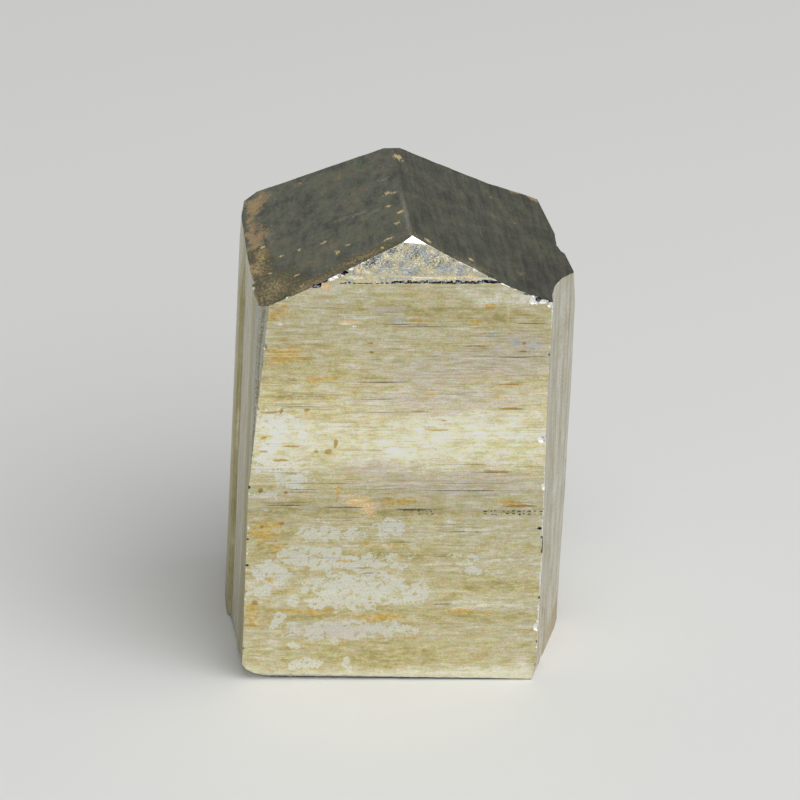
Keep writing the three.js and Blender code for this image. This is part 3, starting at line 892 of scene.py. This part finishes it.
# Tones that no setting changes
PALE = (0.95, 0.9, 0.73)
MAUVE = (0.68, 0.6, 0.5)
# Painted reflection of the pale floor, blended into the lowest millimetre of the front
PAINTED_FLOOR_REFLECTION = (0.98, 0.97, 0.84)
BLUE = (0.5, 0.54, 0.56)
SCAB = (0.95, 0.72, 0.42)
BROWN = (0.32, 0.19, 0.06)
GREEN = (0.6, 0.62, 0.3)
DARK = (0.035, 0.04, 0.05)
BLACK = (0.012, 0.014, 0.022)
WARM_GREY = (0.62, 0.5, 0.42)
BEVEL_STRIPE = (0.2, 0.18, 0.09)
CLEAN_ROOF = (0.16, 0.16, 0.125)
ROOF_OLIVE = (0.34, 0.27, 0.13)
ROOF_DIRT = (0.3, 0.24, 0.1)
# Pale roof tone for the worn ridge, random grain and the painted highlight of the streaks
ROOF_WEAR_AND_PAINTED_HIGHLIGHT = (0.58, 0.56, 0.46)
DUST = (0.7, 0.54, 0.26)
FLECK = (0.95, 0.73, 0.36)
GLINT = (0.97, 0.96, 0.88)
FACET_STRIPE = (0.8, 0.72, 0.47)

# Pairs of tones that a pattern blends, and tones along a pattern from 0 to 1
WEATHERED = ((0.86, 0.87, 0.96), (0.66, 0.66, 0.52))
ROOF_RUST_TONES = ((0.72, 0.42, 0.17), (0.5, 0.42, 0.24))
FACET_TONES = ((0.42, 0.45, 0.44), (0.66, 0.58, 0.35))
SIDE_TONES = [
    (0.05, (0.79, 0.775, 0.7)), (0.4, (0.63, 0.6, 0.49)), (0.7, (0.52, 0.48, 0.34)), (1, (0.37, 0.31, 0.16)),
]
BEVEL_TONES = [
    (0.34, (0.64, 0.64, 0.58)), (0.5, (0.49, 0.48, 0.4)), (0.62, (0.34, 0.32, 0.21)), (0.74, DARK),
]
# Tones of the foot band, whose bright end is a painted reflection of the floor
FOOT_TONES = [(0.38, (0.2, 0.2, 0.13)), (0.45, (0.8, 0.78, 0.6)), (0.56, (1, 1, 0.9))]


def surface(name, recipe, settings):
    """A material. From the crystal's coordinates in millimetres its recipe works out the colour, the
    roughness, how metallic it is and the height in millimetres."""
    material = bpy.data.materials.new(name)
    material.use_nodes = True
    formula = Formula(material.node_tree)
    object_place = formula.node("ShaderNodeTexCoord", output=3)
    from_corner = formula.vector_math("SUBTRACT", object_place, tuple(ORIGIN))
    spot = formula.parts(formula.scaled(from_corner, 1 / MM))
    base, roughness, metallic, height = recipe(formula, *spot, settings)
    bump = formula.node("ShaderNodeBump", {"Strength": 1, "Distance": MM, "Height": height})
    shader = material.node_tree.nodes["Principled BSDF"]
    finish = {"Base Color": base, "Roughness": roughness, "Metallic": metallic, "Normal": bump}
    for socket, value in finish.items():
        formula.feed(shader.inputs[socket], value)
    return material


def coated(formula, base, coats):
    """A colour under coats, from the lowest to the top one. Each has its colour and its share."""
    return reduce(lambda under, coat: formula.tint(under, *coat), coats, base)


def patchy(formula, pattern, region, edge=0.03, pull=0.3):
    """Irregular patches that fill the middle of a region and break up towards its outline. The less the
    region pulls, the more they break up."""
    limit = 0.57 + 0.3 * pull
    return formula.step(pattern + region * pull, limit - edge, limit + edge)


def fine_striae(formula, across, along, seed):
    """The height of lines that are finer than the mesh, in millimetres."""
    return (
        growth_steps(formula, across, along, 0.11, 0.012, 3.5, seed)
        + growth_steps(formula, across + 0.03, along, 0.047, 0.005, 1.6, seed + 0.7)
    )


def speckled(formula, base, spot, amount):
    """A colour with fine grains of slightly different hue."""
    hues = formula.noise(spot, 2, 0.7, output=1)
    shift = formula.scaled(formula.vector_math("SUBTRACT", hues, (0.5, 0.5, 0.5)), amount)
    return formula.vector_math("MULTIPLY", base, formula.vector_math("ADD", shift, (1, 1, 1)))


def striated_finish(formula, along, across, seed, places, settings):
    """Colour, roughness, metallic and height of a striated face. places says where each tone lies."""
    def cloudy(stretch, offset, height, *grades):
        return formula.noise((along * stretch, seed + offset, height), *grades)

    level = across + (cloudy(0.13, 8, across * 0.25, 2) - 0.5) * 0.25
    streak = cloudy(0.07, 0, level * 1.1, 4)
    thin = cloudy(0.24, 3, level * 6, 4, 0.68)
    cloud = cloudy(0.65, 9, level * 1.2, 6, 0.66)
    blotch = cloudy(1.1, 5, across * 1.5, 5, 0.56)
    mottle = cloudy(2.2, 4, level * 3.4, 5, 0.75)
    grain = cloudy(6, 0, across * 9, 3, 0.7)
    islands = cloudy(1.8, 15, across * 2.1, 2, 0.5)
    bare = patchy(formula, blotch * 0.7 + mottle * 0.14 + grain * 0.16, places["bare"], 0.03, 0.42)
    bare = bare * (1 - formula.step(islands, 0.58, 0.61))
    film = (
        (cloud - 0.5) * 1.4 + (streak - 0.5) * 0.8 + (thin - 0.5) * 0.5 + (mottle - 0.5)
        + places["golden"] * 0.3 - places["pale"] * 0.35 + 0.42
    )
    rust = patchy(formula, cloud * 0.3 + mottle * 0.4 + thin * 0.3, places["rust"], 0.02, 0.24)
    browner = formula.step(grain * 0.5 + mottle * 0.5, 0.46, 0.62)
    rust_tone = formula.tint(settings.ochre, settings.rust, browner)
    marks = formula.step(places["marks"] * 1.2 + (grain - 0.5) * 2.4, 0.15, 0.4)
    marks = marks * formula.step(places["marks"], 0, 0.1)
    scab = patchy(formula, cloud * 0.4 + grain * 0.6, places["scab"], 0.06)
    # Painted light along the striations: the dark ruled lines and the darkened hairlines are painted shade,
    # and the pale lines between the ruled ones are a painted highlight
    rules = cloudy(0.14, 2, level * 7, 3, 0.65)
    ruled = formula.step(cloudy(0.08, 6, across * 0.45, 2), 0.36, 0.56) * places["ruled"]
    gaps = formula.step(grain * 0.5 + thin * 0.5, 0.38, 0.54)
    lines = formula.greatest(
        formula.step(rules, 0.56, 0.68) * ruled * 0.46, formula.step(places["lines"], 0.1, 0.7) * gaps
    )
    tones = [(0.02, PALE), (0.3, settings.brass), (0.56, settings.golden), (0.85, settings.olive)]
    base = coated(formula, formula.ramp(film, tones), [
        (MAUVE, formula.step(thin * 0.6 + blotch * 0.4 + places["mauve"] * 0.25, 0.5, 0.68) * 0.8),
        (GREEN, formula.step(cloud * 0.5 + streak * 0.5, 0.56, 0.68) * 0.25),
        (BLUE, patchy(formula, thin, places["blue"], 0.08) * 0.7),
        (settings.silver, formula.step(mottle * 0.6 + blotch * 0.4, 0.57, 0.63) * 0.25),
        (formula.tint(settings.silver, MAUVE, places["mauve"] * 0.6), bare * 0.78),
        (rust_tone, rust * 0.75),
        (formula.tint(rust_tone, BROWN, 0.6), marks * 0.9),
        (SCAB, scab),
        # Painted highlight of the pale ruled lines, then painted shade of the dark lines
        (PALE, formula.step(1 - rules, 0.56, 0.67) * ruled * 0.5),
        (DARK, lines * 0.85),
    ])
    # Painted light: thin bands are brightened where the face is ruled
    painted_line_shade = formula.step(thin, 0.3, 0.7) * 0.16 * places["ruled"]
    shade = formula.step(grain, 0.2, 0.8) * 0.36 + painted_line_shade + 0.76
    calm = 1 - bare * 0.75
    base = speckled(formula, formula.scaled(base, shade), (along * 7, seed, across * 10), calm * 0.5)
    base = speckled(formula, base, (along * 0.9, seed + 7, level * 3.4), calm * 0.3)
    weather = formula.step(cloudy(0.6, 12, level * 3.4, 6, 0.72), 0.36, 0.64) * calm
    weathered = formula.tint(*WEATHERED, weather)
    base = formula.scaled(formula.vector_math("MULTIPLY", base, weathered), 1.34)
    roughness = rust * 0.3 + scab * 0.3 + formula.step(cloud, 0.4, 0.7) * 0.12 - bare * 0.05 + settings.gloss
    height = fine_striae(formula, across, along, seed) + grain * 0.008
    return base, roughness, 1 - rust * 0.5 - scab * 0.7, height


def front_face(formula, x, y, z, settings):
    wander = formula.noise((x * 0.5, 0, z * 0.5), 4, output=1)
    drift_x, drift_z, drift_line = formula.parts(formula.vector_math("SUBTRACT", wander, (0.5, 0.5, 0.5)))
    moved_x = x + drift_x * 2
    moved_z = z + drift_z
    places = {tone: near(formula, moved_x, moved_z, marks) for tone, marks in FRONT_MARKS.items()}
    places["marks"] = near(formula, x + drift_x * 0.8, z + drift_line * 0.3, SMALL_MARKS)
    places["lines"] = near(formula, x + drift_x * 4, z + drift_line * 0.15, HAIRLINES)
    places["ruled"] = formula.step(z, 10, 18) * 0.7 + 0.3
    base, roughness, metallic, height = striated_finish(formula, x, z, 1, places, settings)
    shade = formula.ramp(z / RIDGE_HEIGHT, [(at, (level / RAMP_TOP,) * 3) for at, level in FRONT_SHADE])
    base = formula.vector_math("MULTIPLY", base, formula.scaled(shade, RAMP_TOP))
    # Painted reflection: the foot of the front is whitened as if it mirrored the pale floor
    rim = 1 - formula.step(z + drift_z * 1.5, 0.5, 1.2)
    return formula.tint(base, PAINTED_FLOOR_REFLECTION, rim * 0.45), roughness, metallic, height


def back_face(formula, x, y, z, settings):
    places = {"ruled": 1, "lines": 0, "marks": 0}
    for index, (tone, share) in enumerate(BACK_SHARES.items()):
        cloud = formula.noise((x * 0.25, 30 + 11 * index, z * 0.5), 3)
        places[tone] = formula.step(cloud, 0.62 - share * 0.4, 0.82 - share * 0.3)
    return striated_finish(formula, x, z, 21, places, settings)


def side_face(formula, x, y, z, settings):
    across = x * 0.3 + y
    left = 1 - formula.step(x, 4, 6)
    streak = formula.noise((z * 0.025, 1, across * 1.6), 5, 0.6)
    thin = formula.noise((z * 0.12, 5, across * 9), 4, 0.65)
    cloud = formula.noise((z * 0.35, 8, across * 0.9), 7, 0.66)
    grain = formula.noise((z * 6, x * 9, y * 9), 3, 0.7)
    film = (streak - 0.5) * 1.5 + (thin - 0.5) * 0.8 + (cloud - 0.5) * 1.2 + 0.45
    base = formula.ramp(film, SIDE_TONES)
    base = formula.tint(base, WARM_GREY, formula.step(streak * 0.5 + thin * 0.5, 0.5, 0.66) * 0.35)
    depth = y / DEPTH + (cloud - 0.5) * 0.06
    stripes = formula.ramp(depth, [(at, (share,) * 3) for at, share in OLIVE_STRIPES])
    foot_rust = near(formula, y, z, RIB_RUST) * (1 - left) * 0.3
    rust = formula.step(cloud * 0.7 + thin * 0.3 - z * 0.012 - left * 0.06 + foot_rust, 0.44, 0.58)
    dark = formula.noise((z * 0.03, 3, across * 6), 3, 0.7)
    base = coated(formula, base, [
        (formula.vector_math("MULTIPLY", base, OLIVE_SHARES), formula.math("MULTIPLY", stripes, left)),
        (settings.rust, rust * 0.4),
        (DARK, formula.step(dark, 0.6, 0.75) * 0.35),
    ])
    shade = formula.step(grain, 0.2, 0.8) * 0.4 + 0.8
    base = speckled(formula, formula.scaled(base, shade), (z * 4, x * 7, y * 7), 0.3)
    height = fine_striae(formula, across, z, 41) + grain * 0.006
    return base, rust * 0.2 + cloud * 0.15 + settings.gloss, 1 - rust * 0.25, height


def bevel(formula, x, y, z, settings):
    """The narrow worn face between the front and the left side."""
    streak = formula.noise(((y - x) * 3, 2, z * 0.3), 5, 0.65)
    grain = formula.noise((x * 7, y * 7, z * 5), 4, 0.7)
    across = y / formula.math("MAXIMUM", x + y, 0.1)
    stripe = 1 - formula.step(formula.math("ABSOLUTE", across - 0.36 + (streak - 0.5) * 0.3), 0.06, 0.16)
    base = formula.ramp(streak * 0.5 + grain * 0.5, BEVEL_TONES)
    base = formula.tint(base, BEVEL_STRIPE, stripe * formula.step(grain, 0.3, 0.6) * 0.6)
    return base, grain * 0.2 + settings.gloss, 1, streak * 0.03 + grain * 0.02


def roof_face(formula, x, y, z, settings):
    left = 1 - formula.step(x, RIDGE_X - 0.1, RIDGE_X + 0.1)
    mottle = formula.noise((x * 0.7, y * 0.4, z * 0.2), 8, 0.72)
    streak = formula.noise((x * 2.6, y * 0.16, 2), 5, 0.6)
    fine = formula.noise((x * 12, y * 1.6, 6), 3, 0.6)
    grain = formula.noise((x * 6, y * 5, z * 6), 4, 0.75)
    dust_grain = formula.noise((x * 5, y * 3, 3), 4, 0.8)
    smooth_tone = streak * 0.35 + fine * 0.25 + mottle * 0.4
    rough_tone = mottle * 0.6 + streak * 0.1 + grain * 0.3
    tone = formula.step(formula.blend(smooth_tone, rough_tone, left), 0.36, 0.64) * 0.95 + 0.52
    clean = formula.step(x - y * 0.045, 22.7, 22.8) * (1 - formula.step(y, 8, 10))
    # Roof base colours, dark partly with tarnish and partly with painted shade
    right_tone = formula.tint(settings.right_roof, CLEAN_ROOF, clean)
    base = formula.scaled(formula.tint(right_tone, settings.left_roof, left), tone)
    wander = (mottle - 0.5) * 3
    rust_place = near(formula, x + wander, y + wander, ROOF_RUST)
    rust = patchy(formula, grain * 0.35 + mottle * 0.65, rust_place, 0.05, 0.2)
    dust_place = near(formula, x + wander, y + wander, ROOF_DUST)
    dust = patchy(formula, dust_grain * 0.8 + mottle * 0.2, dust_place, 0.03, 0.14)
    # The pale streaks along a small ridge are a painted highlight, joined below with the real wear of the
    # ridge
    streaks = near(formula, x, y + wander * 0.4, ROOF_STREAKS)
    worn = formula.greatest(near(formula, x, y, RIDGE_WEAR), streaks)
    flecks = patchy(formula, dust_grain * 0.7 + mottle * 0.3, near(formula, x, y, ROOF_FLECKS), 0.03, 0.24)
    base = coated(formula, base, [
        (ROOF_OLIVE, formula.step(mottle * 0.6 + grain * 0.4, 0.47, 0.6) * (left * 0.3 + 0.2)),
        (formula.tint(*ROOF_RUST_TONES, formula.step(fine, 0.4, 0.6)), rust * 0.75),
        (ROOF_DIRT, formula.step(dust_place, 0, 0.4) * left * 0.5),
        (DUST, dust * (left * 0.35 + 0.5)),
        # Pale coat: wear of the ridge, random grain and the painted highlight of the streaks
        (ROOF_WEAR_AND_PAINTED_HIGHLIGHT, formula.step(grain * 0.6 + worn * 0.3, 0.42, 0.56) * 0.8),
        (FLECK, flecks * 0.95),
    ])
    base = speckled(formula, base, (x * 3, y * 2, 8), 0.7)
    roughness = rust * 0.2 + mottle * 0.15 * left + settings.gloss
    rough_height = (grain * 0.012 + mottle * 0.05) * left
    height = fine_striae(formula, x, y, 51) * (1 - left * 0.6) + rough_height + fine * 0.012
    return base, roughness, 1 - flecks * 0.5 - rust * 0.4 - dust * 0.2, height


def facet_face(formula, x, y, z, settings):
    mottle = formula.noise((x * 1.3, 0, z * 1.6), 8, 0.74)
    grain = formula.noise((x * 7, 0, z * 10), 3, 0.75)
    rising = formula.noise(((x - z) * 0.4, 2, (x + z) * 5), 4, 0.65)
    falling = formula.noise(((x + z) * 0.4, 7, (x - z) * 5), 4, 0.65)
    stripes = formula.noise((x * 0.25, 3, z * 6), 4)
    tarnish = formula.noise((x * 0.9, 9, z * 1.2), 6, 0.68)
    low = 1 - formula.step(z, FACET_START + 0.55, FACET_START + 0.95)
    metal = formula.tint(*FACET_TONES, formula.step(tarnish * 0.6 + mottle * 0.4, 0.44, 0.56))
    scratches = formula.step(formula.greatest(rising, falling), 0.6, 0.7) * 0.75
    pitted = near(formula, x, z, FACET_PITS) * 0.08
    pits = 1 - formula.step(mottle * 0.35 + grain * 0.65 - pitted, 0.39, 0.43)
    base = coated(formula, metal, [
        (GLINT, formula.step(mottle * 0.4 + grain * 0.6, 0.51, 0.59) * 0.85),
        (FACET_STRIPE, low * formula.step(stripes, 0.42, 0.58) * 0.7),
        (DARK, formula.greatest(scratches, pits) * (0.9 - low * 0.4)),
    ])
    rust = patchy(formula, grain * 0.5 + mottle * 0.5, near(formula, x, z, FACET_RUST), 0.05)
    base = formula.tint(speckled(formula, base, (x * 2.5, 4, z * 3), 0.4), SCAB, rust)
    height = mottle * 0.05 + grain * 0.015 - scratches * 0.02
    return base, grain * 0.1 + settings.gloss, 1 - rust * 0.5, height


def clean_face(formula, x, y, z, settings):
    """The small face below the ridge's front end, as bright as new metal."""
    return (0.97, 0.97, 0.93, 1), 0.16, 1, 0


def foot_painted_reflection_and_shadow(formula, x, y, z, settings):
    """The band along the foot of the front: its bright tones are a painted reflection of the floor, broken by
    small dark dents, and its lowest strip is a painted contact shadow.
    """
    lumps = formula.noise((x * 1.4, y * 2, z * 2), 6, 0.7)
    grain = formula.noise((x * 5, y * 5, z * 6), 3, 0.7)
    base = formula.ramp(lumps * 0.45 + grain * 0.55, FOOT_TONES)
    # Painted contact shadow: the lowest strip of the foot blends to dark
    base = formula.tint(DARK, base, formula.step(z + lumps * 0.3, 0.2, 0.5))
    return base, 0.45, 0.4, lumps * 0.08 + grain * 0.03


def broken(bright, dark, dark_share, metallic):
    """The recipe of a broken surface whose small faces are bright or dark."""
    def recipe(formula, x, y, z, settings):
        lumps = formula.noise((x * 2.2, y * 2.2, z * 2.2), 5, 0.7)
        grain = formula.noise((x * 7, y * 7, z * 7), 3, 0.7)
        split = 0.38 + 0.24 * dark_share
        brighter = formula.step(lumps * 0.55 + grain * 0.45, split - 0.02, split + 0.04)
        base = formula.tint(dark, bright, brighter)
        return base, settings.gloss + 0.08, metallic, lumps * 0.12 + grain * 0.03
    return recipe


# The materials in the order of their numbers
SURFACES = [
    ("striated_brass_front", front_face),
    ("striated_brass_back", back_face),
    ("striated_brass_side", side_face),
    ("worn_bevel", bevel),
    ("roof_tarnish_and_painted_shade", roof_face),
    ("scratched_facet", facet_face),
    ("fresh_fracture", broken((0.97, 0.96, 0.92), (0.1, 0.1, 0.09), 0.12, 0.75)),
    ("dark_groove", broken((0.3, 0.32, 0.36), BLACK, 0.5, 1)),
    ("foot_painted_reflection_and_shadow", foot_painted_reflection_and_shadow),
    ("clean_face", clean_face),
]


class PYRITE_OT_crystal(bpy.types.Operator):
    """Shape the crystal and give it its surface"""

    bl_idname = "pyrite.crystal"
    bl_label = "Pyrite crystal"

    def execute(self, context):
        settings = context.scene.pyrite_crystal
        ledge_depth = settings.ledge_depth / MM
        materials = [surface(name, recipe, settings) for name, recipe in SURFACES]
        crystal = main_form(materials, ledge_depth, settings.line_depth / MM)
        combine(crystal, facet_block(materials), "DIFFERENCE")
        for material, point, outward, size, cells, relief in CORNER_FACES:
            block = cutting_block(materials, material, point, outward, size, cells, relief)
            combine(crystal, block, "DIFFERENCE")
        combine(crystal, scoop(materials, ledge_depth), "DIFFERENCE")
        for point, outward, worn in WORN_EDGES:
            inset = Vector(point) - Vector(outward).normalized() * worn
            combine(crystal, cutting_block(materials, FRACTURE, inset, outward, (90, 90)), "DIFFERENCE")
        combine(crystal, fissure(materials), "DIFFERENCE")
        bite_out(crystal, CHIPS + nicks(settings.wear) + groove_pits() + seam_pits(), materials)
        make_active(crystal)
        bpy.ops.object.shade_smooth_by_angle(angle=math.radians(12))
        check_closed(crystal)
        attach(crystal, "root")
        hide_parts(NODE)
        return {"FINISHED"}


# The camera, from where the photograph was taken
CAMERA_ELEVATION = math.radians(26)
CAMERA_YAW = math.radians(6.24)
CAMERA_ROLL = math.radians(2.8)
PICTURE_SIDE = 800
SENSOR = 36
AIM_PIXEL = (530.5, 680)  # where the lower right front corner lies in the picture
PIXELS_PER_MM = 11.6


def add_camera(lens):
    focal = lens / SENSOR * PICTURE_SIDE
    forward = Vector((
        math.sin(CAMERA_YAW) * math.cos(CAMERA_ELEVATION),
        math.cos(CAMERA_YAW) * math.cos(CAMERA_ELEVATION),
        -math.sin(CAMERA_ELEVATION),
    ))
    level = Vector((math.cos(CAMERA_YAW), -math.sin(CAMERA_YAW), 0))
    upright = level.cross(forward)
    right = level * math.cos(CAMERA_ROLL) + upright * math.sin(CAMERA_ROLL)
    up = upright * math.cos(CAMERA_ROLL) - level * math.sin(CAMERA_ROLL)
    aim_right = (AIM_PIXEL[0] - PICTURE_SIDE / 2) / focal
    aim_down = (AIM_PIXEL[1] - PICTURE_SIDE / 2) / focal
    ray = forward + right * aim_right - up * aim_down
    distance = focal / PIXELS_PER_MM * MM
    deselect_all()
    bpy.ops.object.camera_add(location=place(FRONT_WIDTH, 0, 0) - ray * distance)
    camera = bpy.context.object
    camera.name = "camera"
    camera.rotation_euler = Matrix((right, up, -forward)).transposed().to_euler()
    camera.data.lens = lens
    camera.data.sensor_width = SENSOR
    bpy.context.scene.camera = camera


# The stage
FLOOR_SIDE = 6
LIGHT_PLACE = Vector((0.24, -0.36, 0.62))


def add_floor(colour):
    deselect_all()
    bpy.ops.mesh.primitive_plane_add(size=FLOOR_SIDE)
    floor = bpy.context.object
    floor.name = "floor"
    material = bpy.data.materials.new("floor")
    material.use_nodes = True
    shader = material.node_tree.nodes["Principled BSDF"]
    shader.inputs["Base Color"].default_value = (*colour, 1)
    shader.inputs["Roughness"].default_value = 0.9
    floor.data.materials.append(material)


def add_light(power, side, surroundings):
    bpy.ops.object.light_add(type="AREA", location=LIGHT_PLACE)
    light = bpy.context.object
    light.name = "soft_light"
    light.data.size = side
    light.data.energy = power
    light.visible_camera = False
    light.rotation_euler = (-LIGHT_PLACE).to_track_quat("-Z", "Y").to_euler()
    world = bpy.data.worlds.new("studio")
    world.use_nodes = True
    world.node_tree.nodes["Background"].inputs["Color"].default_value = (*(surroundings,) * 3, 1)
    bpy.context.scene.world = world


class PYRITE_OT_stage(bpy.types.Operator):
    """Add the floor, the light and the camera"""

    bl_idname = "pyrite.stage"
    bl_label = "Studio"

    def execute(self, context):
        settings = context.scene.pyrite_stage
        add_floor(settings.floor)
        add_light(settings.light_power, settings.light_side, settings.surroundings)
        add_camera(settings.lens)
        context.scene.view_settings.view_transform = "Standard"
        return {"FINISHED"}


class PYRITE_PT_panel(bpy.types.Panel):
    """The crystal and its studio"""

    bl_label = "Pyrite crystal"
    bl_idname = "PYRITE_PT_panel"
    bl_space_type = "VIEW_3D"
    bl_region_type = "UI"
    bl_category = "Pyrite"

    def draw(self, context):
        for settings, operator in (
            (context.scene.pyrite_crystal, PYRITE_OT_crystal),
            (context.scene.pyrite_stage, PYRITE_OT_stage),
        ):
            for name in settings.__annotations__:
                self.layout.prop(settings, name)
            self.layout.operator(operator.bl_idname)


CLASSES = (CrystalSettings, StageSettings, PYRITE_OT_crystal, PYRITE_OT_stage, PYRITE_PT_panel)


def register():
    for item in CLASSES:
        bpy.utils.register_class(item)
    bpy.types.Scene.pyrite_crystal = PointerProperty(type=CrystalSettings)
    bpy.types.Scene.pyrite_stage = PointerProperty(type=StageSettings)


def unregister():
    del bpy.types.Scene.pyrite_stage
    del bpy.types.Scene.pyrite_crystal
    for item in reversed(CLASSES):
        bpy.utils.unregister_class(item)


def main():
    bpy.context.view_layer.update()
    register()
    bpy.ops.pyrite.crystal()
    bpy.ops.pyrite.stage()


if __name__ == "__main__":
    main()
